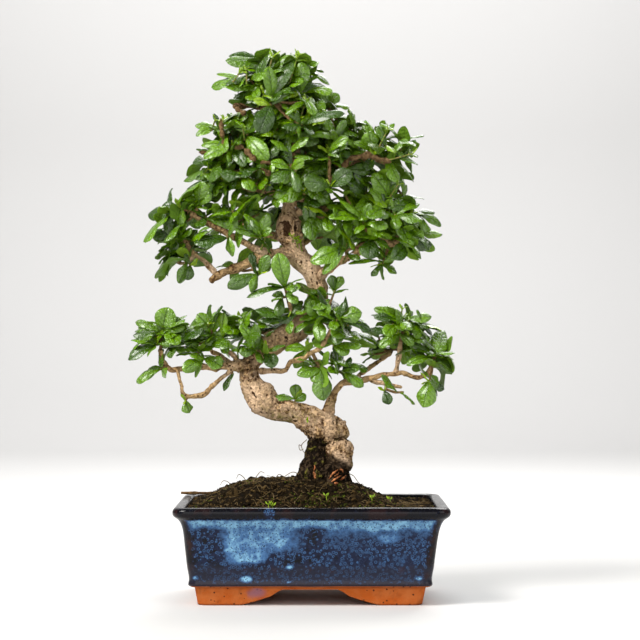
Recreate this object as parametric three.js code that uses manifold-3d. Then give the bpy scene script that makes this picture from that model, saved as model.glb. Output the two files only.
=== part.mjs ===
// Fukien tea bonsai in a glazed rectangular pot. Millimetres, +Z up, the front faces -Y.
// Everything is drawn round the middle of the pot's foot, and the whole is centred at the end.
import * as THREE from "three";
import { mergeVertices } from "three/addons/utils/BufferGeometryUtils.js";
import Module from "manifold-3d";

const wasm = await Module();
wasm.setup();

// Pot
const RIM_WIDTH = 200;
const RIM_DEPTH = 150;
const POT_HEIGHT = 71.5;
const FOOT_HEIGHT = 13;
const FLOOR_BOTTOM = 12;
const FLOOR_TOP = 19;
const RIM_CORNER = 16;
const CORNER_STEPS = 3;
const ARCH_CEILING = 11.3;
const DRAIN_RADIUS = 6;
const DRAIN_OFFSET = 42;

// Soil
const SOIL_EDGE = 68.5;
const MOUND_RISE = 21;
const MOUND_CENTRE = -13;
const MOUND_HALF_WIDTH = 62;
const MOUND_HALF_DEPTH = 46;

// Drain screens
const SCREEN_SIDE = 26;
const SCREEN_THICKNESS = 1.2;
const SCREEN_HOLE = 6;
const SCREEN_PITCH = 10;

// Clearance between pieces that touch
const CLEARANCE = 0.3;

// Leaves and twigs
const LEAF_THICKNESS = 1.7;
const LEAF_STATIONS = [[0.42, 0.56], [0.79, 1]];
const LEAF_SINK = 0.25;
const LEAF_ARCH = 0.9;
const LEAF_SLIMNESS = 0.46;
const TWIG_SIDES = 4;
const TWIG_RADII = [1.35, 1.1, 0.85];
const FORK_RADII = [0.75, 0.85];
const GOLDEN_ANGLE = 2.39996;
const MERGE_DISTANCE = 1e-4;

const vec = (p) => new THREE.Vector3(p[0], p[1], p[2]);

// Solids from closed meshes and back

function solidFromTriangles(positions, triangles) {
  const geometry = new THREE.BufferGeometry();
  geometry.setAttribute("position", new THREE.Float32BufferAttribute(positions, 3));
  geometry.setIndex(triangles);
  return solidFromGeometry(geometry);
}

function solidFromGeometry(geometry) {
  geometry.deleteAttribute("normal");
  geometry.deleteAttribute("uv");
  const merged = mergeVertices(geometry, MERGE_DISTANCE);
  const vertProperties = new Float32Array(merged.attributes.position.array);
  const triVerts = new Uint32Array(merged.index.array);
  return new wasm.Manifold(new wasm.Mesh({ numProp: 3, vertProperties, triVerts }));
}

function meshFromSolid(name, solid, look) {
  const data = solid.getMesh();
  const geometry = new THREE.BufferGeometry();
  geometry.setAttribute("position", new THREE.BufferAttribute(data.vertProperties, 3));
  geometry.setIndex(new THREE.BufferAttribute(data.triVerts, 1));
  geometry.computeVertexNormals();
  const mesh = new THREE.Mesh(geometry, new THREE.MeshStandardMaterial(look));
  mesh.name = name;
  return mesh;
}

// The biggest connected body of a solid: loose scraps and sealed bubbles are left behind.
function mainBody(solid) {
  let best = null;
  for (const body of solid.decompose()) {
    if (!best || body.volume() > best.volume()) best = body;
  }
  return best;
}

// A closed skin through rings of equal point count, each running anticlockwise seen from its end.
function loft(rings) {
  const count = rings[0].length;
  const positions = rings.flat().flatMap((p) => [p.x, p.y, p.z]);
  const triangles = [];
  for (let r = 0; r < rings.length - 1; r += 1) {
    for (let i = 0; i < count; i += 1) {
      const next = (i + 1) % count;
      const low = r * count;
      const high = low + count;
      triangles.push(low + i, low + next, high + next);
      triangles.push(low + i, high + next, high + i);
    }
  }
  const last = (rings.length - 1) * count;
  for (let i = 1; i < count - 1; i += 1) {
    triangles.push(0, i + 1, i);
    triangles.push(last, last + i, last + i + 1);
  }
  return solidFromTriangles(positions, triangles);
}

// A round stem through points, with its own radius at each of them.
function stem(points, radii, sides) {
  const rings = [];
  const tangent = new THREE.Vector3().subVectors(points[1], points[0]).normalize();
  const sideways = new THREE.Vector3(0, 1, 0).cross(tangent);
  if (sideways.length() < 0.1) sideways.set(1, 0, 0);
  sideways.normalize();
  points.forEach((point, i) => {
    const before = points[Math.max(0, i - 1)];
    const after = points[Math.min(points.length - 1, i + 1)];
    tangent.subVectors(after, before).normalize();
    sideways.addScaledVector(tangent, -sideways.dot(tangent)).normalize();
    const across = new THREE.Vector3().crossVectors(tangent, sideways);
    const ring = [];
    for (let k = 0; k < sides; k += 1) {
      const angle = (k / sides) * 2 * Math.PI;
      const spot = point.clone();
      spot.addScaledVector(sideways, radii[i] * Math.cos(angle));
      spot.addScaledVector(across, radii[i] * Math.sin(angle));
      ring.push(spot);
    }
    rings.push(ring);
  });
  return loft(rings);
}

// Pot

// A rectangle with rounded corners, drawn in from the rim's outline by an inset.
function roundedRing(inset, z) {
  const halfWidth = RIM_WIDTH / 2 - inset;
  const halfDepth = RIM_DEPTH / 2 - inset;
  const radius = Math.max(7, RIM_CORNER - inset * 0.4);
  const corners = [
    [1, 1, 0],
    [-1, 1, 0.5],
    [-1, -1, 1],
    [1, -1, 1.5],
  ];
  const ring = [];
  for (const [signX, signY, start] of corners) {
    for (let k = 0; k <= CORNER_STEPS; k += 1) {
      const angle = (start + (0.5 * k) / CORNER_STEPS) * Math.PI;
      const x = signX * (halfWidth - radius) + radius * Math.cos(angle);
      const y = signY * (halfDepth - radius) + radius * Math.sin(angle);
      ring.push(new THREE.Vector3(x, y, z));
    }
  }
  return ring;
}

// Inset and height of the outer wall, from the foot up to the rolled rim.
const OUTER_PROFILE = [
  [21, 0],
  [17.5, FOOT_HEIGHT],
  [13.4, 14],
  [13.6, 17],
  [9.7, 41],
  [6.6, 56],
  [5.6, 61.5],
  [1.2, 63.5],
  [0, 67],
  [1.3, 70.2],
  [4.4, POT_HEIGHT],
];

// Inset and height of the inner wall, from the floor up to the lip.
const INNER_PROFILE = [
  [20, FLOOR_TOP],
  [15.5, 45],
  [12.5, 62],
  [9.6, 67],
  [8.8, POT_HEIGHT - 1.2],
  [8, POT_HEIGHT + 1],
];

// An arch as wide as a span at the table, rising by a soft curve to a flat ceiling.
function archCutter(span, flat, length) {
  const shape = new THREE.Shape();
  const shoulder = span - flat;
  shape.moveTo(-span, -1);
  shape.lineTo(span, -1);
  shape.lineTo(span, 0);
  shape.lineTo(span - shoulder * 0.4, 3.3);
  shape.lineTo(span - shoulder * 0.73, 6.5);
  shape.lineTo(span - shoulder * 0.88, 9.6);
  shape.lineTo(flat, ARCH_CEILING);
  shape.lineTo(-flat, ARCH_CEILING);
  shape.lineTo(-span + shoulder * 0.88, 9.6);
  shape.lineTo(-span + shoulder * 0.73, 6.5);
  shape.lineTo(-span + shoulder * 0.4, 3.3);
  shape.lineTo(-span, 0);
  const geometry = new THREE.ExtrudeGeometry(shape, { depth: length, bevelEnabled: false });
  geometry.translate(0, 0, -length / 2);
  geometry.rotateX(Math.PI / 2);
  return geometry;
}

function buildPot() {
  const outside = loft(OUTER_PROFILE.map(([inset, z]) => roundedRing(inset, z)));
  const inside = loft(INNER_PROFILE.map(([inset, z]) => roundedRing(inset, z)));
  const recess = loft([roundedRing(31, -1), roundedRing(30, FLOOR_BOTTOM)]);
  const frontArch = solidFromGeometry(archCutter(50, 20, RIM_DEPTH));
  const sideArch = solidFromGeometry(archCutter(30, 12, RIM_WIDTH).rotateZ(Math.PI / 2));
  let pot = outside.subtract(inside).subtract(recess).subtract(frontArch).subtract(sideArch);
  for (const side of [-1, 1]) {
    const drill = new THREE.CylinderGeometry(DRAIN_RADIUS, DRAIN_RADIUS, 20, 12);
    drill.rotateX(Math.PI / 2);
    drill.translate(side * DRAIN_OFFSET, 0, FLOOR_BOTTOM + 3);
    pot = pot.subtract(solidFromGeometry(drill));
  }
  return pot;
}

// Soil and drain screens

// Height of the soil: a flat-topped mound that falls away on all sides.
function soilHeight(x, y) {
  const across = Math.pow((x - MOUND_CENTRE) / MOUND_HALF_WIDTH, 4);
  const along = Math.pow(y / MOUND_HALF_DEPTH, 4);
  return SOIL_EDGE + MOUND_RISE * Math.exp(-across - along);
}

function screenBlock(width, thickness, x, y) {
  const block = new THREE.BoxGeometry(width, width, thickness);
  block.translate(x, y, FLOOR_TOP + CLEARANCE + SCREEN_THICKNESS / 2);
  return solidFromGeometry(block);
}

function buildScreen(side) {
  const middle = side * DRAIN_OFFSET;
  let screen = screenBlock(SCREEN_SIDE, SCREEN_THICKNESS, middle, 0);
  for (const x of [-SCREEN_PITCH / 2, SCREEN_PITCH / 2]) {
    for (const y of [-SCREEN_PITCH / 2, SCREEN_PITCH / 2]) {
      screen = screen.subtract(screenBlock(SCREEN_HOLE, SCREEN_THICKNESS * 2, middle + x, y));
    }
  }
  return screen;
}

function buildSoil(trunkClear, twigClear) {
  const rings = INNER_PROFILE.slice(0, 4).map(([inset, z], i) => {
    return roundedRing(inset + CLEARANCE + 0.2, z + (i === 0 ? CLEARANCE : 0));
  });
  const edge = roundedRing(9.4 + CLEARANCE, SOIL_EDGE);
  edge.forEach((p) => {
    p.z = soilHeight(p.x, p.y);
  });
  rings.push(edge);
  for (const shrink of [0.82, 0.6, 0.4]) {
    rings.push(edge.map((p) => {
      const x = MOUND_CENTRE * (1 - shrink) + p.x * shrink;
      const y = p.y * shrink;
      return new THREE.Vector3(x, y, soilHeight(x, y));
    }));
  }
  let soil = loft(rings).subtract(trunkClear).subtract(twigClear);
  for (const side of [-1, 1]) {
    const width = SCREEN_SIDE + 2 * CLEARANCE;
    const thickness = SCREEN_THICKNESS + 2 * CLEARANCE;
    soil = soil.subtract(screenBlock(width, thickness, side * DRAIN_OFFSET, 0));
  }
  return soil;
}

// Trunk and branches: each limb is a list of points with a radius at each of them.

const LIMBS = {
  trunk: [
    [17, 2, 60, 12],
    [15, 1, 80, 15.5],
    [14, 0, 90, 16.5],
    [17, -1, 100, 14.5],
    [18.5, -2, 108, 13.2],
    [15.5, -2, 115, 12.2],
    [11, -2, 121, 12],
    [6, -3, 127, 11.6],
    [0, -4, 131, 10.6],
    [-8, -5, 134, 9.2],
    [-17, -6, 137.5, 7.8],
    [-28, -6, 139.5, 9.4],
    [-37.5, -6, 148, 10],
    [-43.5, -6, 156.5, 8.5],
    [-45.5, -5, 167, 7.4],
    [-44, -4, 174, 7.8],
    [-37, -2, 183, 8.8],
    [-24, 0, 190.5, 9],
    [-12, 2, 198, 8.3],
    [-1.5, 3, 210, 7.6],
    [4.3, 4, 222, 7.1],
    [3.8, 4, 232, 7.2],
    [-0.6, 3, 243, 7.6],
    [-9.5, 2, 253, 8.2],
    [-14, 1, 263, 8.8],
    [-16.3, 0, 275, 8.8],
    [-17, 0, 284, 6],
    [-17, 0, 292, 4],
    [-15, 2, 308, 3.8],
    [-12, 3, 326, 3.5],
    [-13, 2, 345, 3],
    [-17, 0, 366, 2.4],
    [-15, 0, 384, 1.8],
  ],
  root_column: [[-2, -6, 66, 9], [2, -6, 88, 9.5], [5, -5, 104, 8.4], [8, -4, 118, 7]],
  root_left: [[2, -6, 104, 6], [-5, -8, 92, 5], [-12, -10, 82, 3]],
  root_right: [[22, 0, 101, 7], [28, -1, 90, 5.2], [34, -3, 79, 3]],
  root_front: [[10, -8, 99, 6.5], [14, -18, 87, 4.6], [17, -27, 79, 2.8]],
  root_back: [[12, 8, 102, 7], [6, 18, 89, 5], [0, 30, 80, 3]],
  knob_right: [[14, -3, 122, 6], [21, -5, 127, 3.6], [24, -6, 129.5, 1.6]],
  lower_right: [
    [10, -3, 128, 6],
    [13.5, -3, 140, 4.4],
    [13.8, -4, 147, 3],
    [19, -5, 156, 2.9],
    [29, -6, 159, 3.1],
    [40, -7, 161.5, 2.3],
    [52, -8, 164.5, 1.9],
    [62, -9, 166, 1.8],
    [72, -9, 165, 1.7],
    [81, -10, 163, 1.6],
    [86, -10, 166, 1.7],
    [89, -10, 172, 1.5],
  ],
  lower_right_upright: [[62, -9, 165, 1.7], [64, -9, 177, 1.6], [66, -8, 189, 1.4]],
  lower_right_twig: [[43, -8, 161, 1.5], [50, -9, 159, 1.2], [58, -10, 157.5, 1.1], [66, -10, 156, 1.1]],
  lower_middle: [
    [-40, -9, 168, 2],
    [-27, -13, 168, 1.7],
    [-19, -15, 169, 1.7],
    [-16, -16, 175, 1.5],
    [-9, -17, 176, 1.6],
    [-1, -17, 180, 1.6],
    [6, -17, 185, 1.5],
    [12, -17, 194, 1.4],
    [16, -17, 202, 1.3],
  ],
  lower_left: [
    [-46, -6, 170, 4.5],
    [-56, -10, 171.5, 3.4],
    [-66, -12, 171.5, 2.7],
    [-83, -14, 170.5, 2],
    [-98, -15, 169, 1.9],
    [-104, -15, 169, 2],
    [-109, -15, 175, 1.8],
    [-112, -15, 183, 1.6],
  ],
  lower_left_loop: [
    [-57, -10, 171, 1.9],
    [-66, -15, 163, 1.6],
    [-73, -17, 157, 1.6],
    [-80, -18, 151, 1.9],
    [-87, -18, 149.5, 1.5],
    [-93, -18, 149.5, 1.6],
    [-97, -17, 159, 1.4],
    [-99, -16, 168, 1.4],
  ],
  lower_left_spur: [[-56, -9, 172, 2.2], [-56.5, -8, 179, 1.9], [-63, -8, 184, 1.7], [-71, -8, 191, 1.3]],
  lower_back: [[-42, -3, 176, 3.6], [-42, 14, 181, 2.6], [-36, 32, 187, 2], [-28, 48, 192, 1.5]],
  lower_back_left: [[-60, -8, 172, 2.2], [-68, 12, 178, 1.8], [-80, 30, 185, 1.4]],
  lower_back_right: [[30, -5, 159, 2], [38, 12, 166, 1.7], [50, 30, 174, 1.5], [60, 42, 181, 1.3]],
  middle_spur: [[-16, -3, 195, 2], [-14, -8, 206, 1.6], [-17, -10, 219, 1.4]],
  mid_left: [
    [-12, -3, 255, 4.6],
    [-26, -6, 254.5, 3.6],
    [-40, -7, 252, 4],
    [-54, -8, 245, 3.2],
    [-69, -9, 239.5, 2.8],
    [-74, -9, 235.5, 2.2],
  ],
  mid_left_end: [[-71, -9, 240, 2], [-81, -9, 250, 1.8], [-89, -9, 256, 1.6], [-95, -9, 266, 1.3]],
  mid_left_tip: [[-87, -9, 254, 1.4], [-94, -10, 248, 1.3], [-101, -10, 249, 1.2]],
  mid_left_upper: [
    [-32, -7, 254, 3.2],
    [-45, -9, 260, 2.8],
    [-57, -10, 267, 2.4],
    [-70, -11, 274, 2.3],
    [-84, -11, 281, 1.9],
    [-91, -11, 285, 1.5],
  ],
  mid_back_left: [[-14, 4, 264, 3.4], [-28, 20, 269, 2.5], [-44, 36, 275, 1.9], [-56, 50, 281, 1.4]],
  mid_back: [[-12, 5, 256, 3.2], [-8, 24, 262, 2.3], [-2, 44, 268, 1.7], [2, 58, 274, 1.3]],
  mid_right: [
    [3, 1, 236, 4],
    [13, -5, 244, 2.7],
    [22, -8, 250.5, 2.4],
    [31, -9, 254, 2.5],
    [36, -10, 260, 2.3],
    [50, -11, 265.5, 2],
    [62, -11, 262.5, 1.9],
    [64, -11, 270, 1.4],
  ],
  mid_back_right: [[4, 5, 240, 3.2], [18, 20, 248, 2.3], [34, 36, 256, 1.8], [46, 48, 263, 1.4]],
  crown_low_right: [[-16, 0, 285, 3], [2, 2, 288, 2.2], [22, 0, 290, 1.9], [40, -2, 291, 1.7], [54, -4, 289, 1.4]],
  crown_left: [
    [-15, 1, 297, 3.2],
    [-36, -1, 302, 2.4],
    [-54, -3, 307, 2.1],
    [-65, -4, 319, 1.9],
    [-66, -4, 336, 1.5],
  ],
  crown_right: [
    [-16, 0, 292, 3],
    [-3, -6, 298, 2.1],
    [12, -8, 306, 2.2],
    [20, -6, 315, 2.6],
    [31, -4, 324, 2.5],
    [43, -3, 327, 2.4],
    [54, -2, 324, 1.9],
  ],
  crown_front: [[-14, 1, 306, 2.6], [-14, -16, 314, 1.9], [-12, -28, 322, 1.4]],
  crown_back: [[-13, 3, 312, 2.8], [-8, 20, 318, 2.1], [-4, 38, 326, 1.6], [-2, 50, 334, 1.2]],
  crown_back_left: [[-14, 2, 304, 2.6], [-32, 18, 310, 2], [-48, 32, 318, 1.5]],
  crown_back_right: [[-13, 3, 318, 2.4], [8, 18, 324, 1.9], [26, 30, 330, 1.5]],
  crown_high_left: [[-13, 2, 342, 2.2], [-28, -4, 352, 1.8], [-38, -6, 363, 1.4]],
  crown_high_right: [[-13, 2, 346, 2.1], [2, -3, 353, 1.7], [13, -3, 361, 1.3]],
  crown_high_back: [[-14, 2, 350, 2], [-14, 16, 358, 1.6], [-12, 26, 368, 1.3]],
};
const TRUNK_SIDES = 8;
const ROOT_SIDES = 6;
const THICK_LIMB = 2.5;
const SCAR_PLACE = [-18, -10.5, 274];
const SCAR_SIZE = [4.6, 5.5, 9.5];

function limbSolid(name, limb, grow) {
  const points = limb.map((p) => vec(p));
  const radii = limb.map((p) => p[3] + grow);
  let sides = limb[0][3] > THICK_LIMB ? 5 : 4;
  if (name.startsWith("root")) sides = ROOT_SIDES;
  if (name === "trunk") sides = TRUNK_SIDES;
  return stem(points, radii, sides);
}

function buildTrunk(grow) {
  const parts = Object.entries(LIMBS).map(([name, limb]) => limbSolid(name, limb, grow));
  return wasm.Manifold.union(parts);
}

function carveScar(trunk) {
  const hollow = new THREE.SphereGeometry(1, 8, 6);
  hollow.scale(...SCAR_SIZE);
  hollow.translate(...SCAR_PLACE);
  return trunk.subtract(solidFromGeometry(hollow));
}

// The spot on the middle line of any limb that is nearest to a place.
function nearestWood(place) {
  let best = null;
  for (const limb of Object.values(LIMBS)) {
    for (let i = 0; i < limb.length - 1; i += 1) {
      const line = new THREE.Line3(vec(limb[i]), vec(limb[i + 1]));
      const spot = line.closestPointToPoint(place, true, new THREE.Vector3());
      if (!best || spot.distanceTo(place) < best.distanceTo(place)) best = spot;
    }
  }
  return best;
}

// Leafy sprays. Each shoot is its tip, the number of leaves that the rule adds, and the leaves whose
// tips are known: x, y, z of the leaf's tip, its width, and how far its face turns to the front (0 to 1).

const SPRAYS = {
  crown_apex: [
    [[-10, 0, 393], 1, [-16, -3, 405, 6, 0.3], [-4, -2, 405, 6, 0.3], [9, 2, 391, 6, 0.2], [13, 4, 382, 8, 0.3]],
    [[-9, -14, 373], 2, [-7, -20, 396, 13, 0.9]],
    [[-6, 14, 384], 4],
  ],
  crown_top_left: [
    [[-30, 0, 396], 1, [-34, -2, 406, 4, 0.3], [-24, 2, 405, 5, 0.3], [-60, -8, 401, 14, 0.7]],
    [[-43, -10, 377], 1, [-68, -14, 381, 13, 0.7], [-70, -4, 389, 8, 0.3], [-31, -20, 402, 9, 0.6]],
    [[-44, 12, 374], 3],
  ],
  crown_front_top: [
    [[-29, -26, 369], 1, [-12, -36, 371, 6, 0.4], [-32, -32, 391, 11, 0.6], [-13, -20, 398, 12, 0.5]],
    [[-30, -34, 362], 0, [-38, -42, 341, 16, 1]],
    [[-4, -30, 366], 1, [-19, -40, 355, 7, 0.5], [2, -40, 354, 8, 0.5]],
    [[-7, -38, 347], 1, [24, -46, 355, 11, 0.5], [-22, -46, 345, 9, 0.6]],
  ],
  crown_top_right: [
    [[13, -4, 365], 1, [20, -6, 374, 9, 0.7], [28, -2, 364, 8, 0.4], [-3, -12, 361, 9, 0.4], [3, 0, 382, 9, 0.5]],
    [[27, 6, 350], 1, [40, 8, 354, 6, 0.2], [31, 2, 342, 8, 0.4], [38, 14, 345, 7, 0.2]],
    [[18, -24, 340], 1, [-1, -34, 340, 8, 0.4], [21, -36, 329, 13, 0.8]],
  ],
  crown_right: [
    [[45, -8, 330], 1, [42, -16, 345, 14, 0.9], [40, -2, 355, 9, 0.4], [31, -18, 336, 9, 0.5]],
    [[54, 3, 340], 1, [52, 3, 354, 5, 0.2], [62, 5, 353, 5, 0.2], [70, 7, 345, 7, 0.3]],
    [[57, -4, 325], 1, [72, -8, 340, 8, 0.4], [79, -5, 321, 7, 0.3], [64, -16, 307, 11, 0.6], [76, 4, 309, 6, 0.3]],
    [[68, 6, 329], 0, [78, 8, 341, 8, 0.5], [80, 12, 329, 7, 0.3]],
  ],
  crown_right_low: [
    [[58, -4, 295], 1, [45, -16, 314, 16, 0.9], [63, -8, 306, 7, 0.5], [84, 2, 296, 8, 0.4]],
    [[78, -6, 284], 1, [96, -8, 275, 8, 0.4], [88, -8, 266, 9, 0.5], [92, 4, 286, 8, 0.3]],
    [[62, -16, 283], 1, [82, -22, 279, 11, 0.7], [80, -10, 292, 9, 0.4], [62, -26, 272, 9, 0.6]],
  ],
  crown_right_back: [
    [[62, 22, 314], 4],
    [[46, 26, 338], 4],
    [[70, 14, 296], 3],
  ],
  mid_right_upper: [
    [[38, -24, 278], 1, [20, -34, 293, 9, 0.5], [12, -34, 280, 9, 0.5], [43, -30, 291, 8, 0.6], [56, -32, 273, 10, 0.5]],
    [[24, -12, 300], 2],
  ],
  trunk_upper_right: [
    [[-1, -12, 284], 0, [4, -18, 300, 11, 0.7], [1, -20, 264, 13, 0.9], [8, -16, 272, 8, 0.6]],
  ],
  mid_right_front: [
    [[25, -16, 258], 0, [-1, -22, 248, 15, 0.9], [8, -24, 239, 9, 0.6], [18, -18, 274, 7, 0.6], [34, -16, 272, 8, 0.4]],
    [[44, -18, 266], 0, [42, -28, 250, 15, 1], [58, -24, 257, 8, 0.6], [30, -20, 264, 8, 0.5]],
  ],
  mid_right_end: [
    [[52, -10, 247], 1, [44, -12, 238, 7, 0.4], [63, -10, 240, 9, 0.5], [65, -14, 258, 11, 0.6], [27, -14, 247, 6, 0.2]],
  ],
  mid_right_tip: [
    [[66, -12, 275], 0, [73, -20, 259, 12, 0.7], [84, -14, 262, 8, 0.4]],
    [[60, 8, 272], 4],
  ],
  crown_left: [
    [[-69, -4, 349], 1, [-87, -6, 350, 8, 0.5], [-86, -10, 342, 8, 0.5], [-51, -8, 347, 7, 0.5], [-73, -2, 360, 5, 0.3]],
    [[-59, -14, 333], 1, [-80, -18, 325, 11, 0.6], [-82, -12, 335, 8, 0.5], [-49, -26, 318, 9, 0.7]],
    [[-56, 14, 344], 3],
  ],
  crown_left_low: [
    [[-67, -7, 310], 1, [-80, -12, 313, 9, 0.6], [-89, -2, 311, 8, 0.3], [-93, -6, 303, 5, 0.3]],
    [[-50, -22, 312], 1, [-67, -30, 312, 11, 0.7], [-44, -32, 300, 10, 0.8]],
    [[-62, 16, 308], 3],
  ],
  mid_left_high: [
    [[-84, -14, 291], 1, [-81, -21, 308, 13, 1], [-93, -12, 297, 10, 0.6], [-74, -20, 300, 9, 0.7]],
    [[-97, -15, 288], 0, [-111, -12, 290, 8, 0.5], [-111, -14, 278, 10, 0.8], [-98, -18, 275, 8, 0.6]],
    [[-86, 8, 293], 3],
  ],
  mid_left_end: [
    [[-100, -9, 266], 1, [-120, -11, 271, 13, 0.7], [-109, -13, 279, 10, 0.7], [-93, -15, 278, 8, 0.5]],
    [[-106, -9, 254], 0, [-114, -7, 247, 4, 0.2], [-93, -14, 262, 10, 0.6]],
    [[-90, -12, 246], 0, [-92, -14, 235, 9, 0.8]],
    [[-96, 8, 262], 3],
  ],
  mid_left_upper: [
    [[-55, -8, 281], 0, [-75, -10, 288, 12, 0.6], [-67, -4, 292, 11, 0.5], [-72, -14, 279, 9, 0.5]],
    [[-63, -18, 266], 0, [-87, -26, 262, 14, 0.8]],
    [[-37, -14, 266], 1, [-50, -18, 284, 9, 0.6], [-33, -16, 285, 9, 0.6], [-57, -20, 273, 9, 0.6], [-29, -22, 272, 7, 0.7]],
  ],
  mid_left_low: [
    [[-39, -14, 239], 1, [-62, -20, 229, 11, 0.8], [-31, -22, 253, 9, 0.7]],
    [[-60, 8, 246], 3],
  ],
  trunk_front: [
    [[-20, -14, 230], 0, [-48, -18, 222, 10, 0.5], [-25, -20, 255, 14, 1], [-6, -14, 236, 6, 0.3], [-8, -22, 229, 9, 0.7]],
    [[-22, -14, 222], 0, [-25, -20, 208, 8, 0.7]],
  ],
  lower_middle_left: [
    [[-18, -12, 204], 0, [-40, -18, 208, 12, 0.5], [-38, -14, 200, 7, 0.3]],
  ],
  elbow_front: [
    [[-41, -19, 184], 1, [-53, -24, 202, 9, 0.6], [-42, -26, 203, 8, 0.6], [-53, -24, 181, 9, 0.6]],
    [[-34, -20, 181], 0, [-19, -26, 187, 8, 0.4], [-27, -28, 171, 11, 0.7]],
  ],
  lower_middle: [
    [[6, -10, 206], 1, [-13, -18, 196, 8, 0.4], [-3, -16, 219, 12, 0.8], [11, -16, 219, 12, 0.8], [25, -10, 216, 8, 0.4]],
    [[17, -5, 228], 0, [14, -8, 239, 8, 0.6], [23, -6, 238, 8, 0.6]],
  ],
  lower_middle_right: [
    [[19, -19, 206], 1, [24, -22, 219, 7, 0.6], [37, -22, 211, 13, 0.8], [43, -18, 197, 9, 0.4]],
    [[14, -19, 186], 0, [27, -24, 180, 8, 0.5], [37, -20, 186, 9, 0.6], [0, -24, 189, 9, 0.6]],
  ],
  lower_middle_front: [
    [[-3, -22, 180], 0, [-20, -26, 181, 9, 0.6], [-14, -28, 172, 9, 0.7]],
  ],
  lower_hanging: [
    [[8, -14, 169], 1, [-11, -20, 165, 10, 0.6], [0, -20, 160, 11, 0.8], [9, -22, 146, 15, 1]],
    [[23, -11, 167], 1, [38, -16, 156, 9, 0.6], [29, -13, 178, 8, 0.5], [36, -14, 170, 8, 0.5]],
  ],
  lower_right_hanging: [
    [[54, -12, 153], 0, [57, -14, 143, 8, 0.9]],
    [[68, -15, 152], 3],
  ],
  lower_right_top: [
    [[67, -7, 205], 1, [46, -8, 214, 9, 0.5], [46, -12, 207, 8, 0.5], [89, -9, 208, 10, 0.5], [96, -7, 197, 10, 0.6]],
    [[64, -10, 195], 1, [42, -12, 199, 9, 0.5], [85, -14, 189, 8, 0.5], [50, -16, 185, 9, 0.6]],
    [[72, 14, 200], 4],
  ],
  lower_right_end: [
    [[91, -11, 179], 1, [105, -14, 167, 10, 0.6], [104, -6, 181, 6, 0.3], [71, -15, 189, 9, 0.4], [70, -16, 172, 9, 0.5]],
    [[87, -12, 160], 0, [98, -13, 154, 9, 0.6], [93, -8, 149, 5, 0.3], [82, -18, 141, 15, 1]],
    [[88, 10, 176], 4],
  ],
  lower_left_tip: [
    [[-111, -13, 196], 1, [-132, -17, 194, 11, 0.6], [-131, -8, 204, 8, 0.5], [-106, -15, 215, 16, 1], [-93, -19, 201, 9, 0.5]],
    [[-115, -17, 187], 1, [-136, -18, 191, 9, 0.5], [-135, -22, 176, 11, 0.7], [-99, -24, 190, 9, 0.5]],
    [[-112, 8, 190], 4],
  ],
  lower_left_low: [
    [[-112, -19, 169], 1, [-129, -20, 159, 9, 0.5]],
  ],
  lower_left_middle: [
    [[-84, -12, 183], 0, [-101, -18, 184, 9, 0.5], [-90, -14, 196, 9, 0.5], [-70, -14, 187, 9, 0.5]],
    [[-79, -17, 177], 0, [-90, -24, 180, 9, 0.6], [-66, -22, 171, 12, 0.7], [-86, -18, 163, 5, 0.3]],
  ],
  lower_left_upper: [
    [[-74, -9, 196], 0, [-85, -13, 210, 11, 0.7], [-68, -11, 212, 10, 0.7], [-86, -14, 197, 11, 0.7]],
    [[-54, -4, 204], 1, [-72, -8, 202, 9, 0.4], [-70, -12, 195, 9, 0.5]],
  ],
  lower_left_hanging: [
    [[-93, -19, 146], 0, [-90, -21, 137, 9, 0.9]],
  ],
  elbow_leaf: [
    [[-58, -12, 166], 0, [-65, -15, 153, 6, 0.5]],
  ],
  trunk_sprout: [
    [[-12, -6, 147], 0, [-28, -9, 148, 7, 0.5], [-12, -7, 158, 9, 1], [-4, -7, 150, 7, 0.9]],
  ],
  crown_middle_front: [
    [[-16, -34, 328], 1, [-2, -42, 338, 9, 0.7], [-30, -42, 336, 9, 0.6]],
    [[-15, -36, 315], 0, [-30, -44, 306, 11, 0.8], [-30, -40, 320, 8, 0.6], [-9, -42, 298, 8, 0.8]],
  ],
  crown_low_front: [
    [[-6, -22, 300], 0, [-26, -30, 292, 11, 0.7], [10, -30, 294, 9, 0.7]],
  ],
  crown_middle_right: [
    [[14, -29, 303], 1, [-6, -40, 306, 14, 0.8], [29, -36, 314, 13, 0.9]],
    [[13, -34, 328], 1, [19, -42, 328, 8, 0.6], [27, -42, 338, 9, 0.6]],
  ],
  crown_back_upper: [
    [[-4, 38, 356], 4],
    [[-24, 30, 364], 3],
    [[16, 28, 352], 3],
  ],
  crown_back_middle: [
    [[-4, 60, 336], 4],
    [[16, 54, 324], 3],
    [[-24, 52, 340], 3],
  ],
  crown_back_left: [
    [[-52, 40, 324], 3],
    [[-44, 46, 304], 3],
    [[-64, 26, 332], 3],
  ],
  crown_back_right: [
    [[32, 38, 332], 3],
    [[40, 40, 312], 3],
    [[24, 44, 346], 3],
  ],
  mid_back_left: [
    [[-60, 56, 284], 3],
    [[-76, 40, 278], 3],
    [[-42, 62, 272], 3],
  ],
  mid_back: [
    [[2, 68, 276], 4],
    [[-18, 62, 284], 3],
    [[18, 64, 270], 3],
  ],
  mid_back_right: [
    [[52, 52, 266], 3],
    [[64, 36, 274], 3],
    [[40, 62, 276], 3],
  ],
  lower_back: [
    [[-28, 54, 196], 3],
    [[-12, 50, 200], 3],
    [[-44, 44, 198], 3],
  ],
  lower_back_left: [
    [[-84, 36, 190], 3],
    [[-98, 24, 190], 3],
    [[-68, 46, 186], 3],
  ],
  lower_back_right: [
    [[62, 48, 186], 3],
    [[76, 34, 186], 3],
    [[46, 50, 180], 3],
  ],
};

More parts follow.
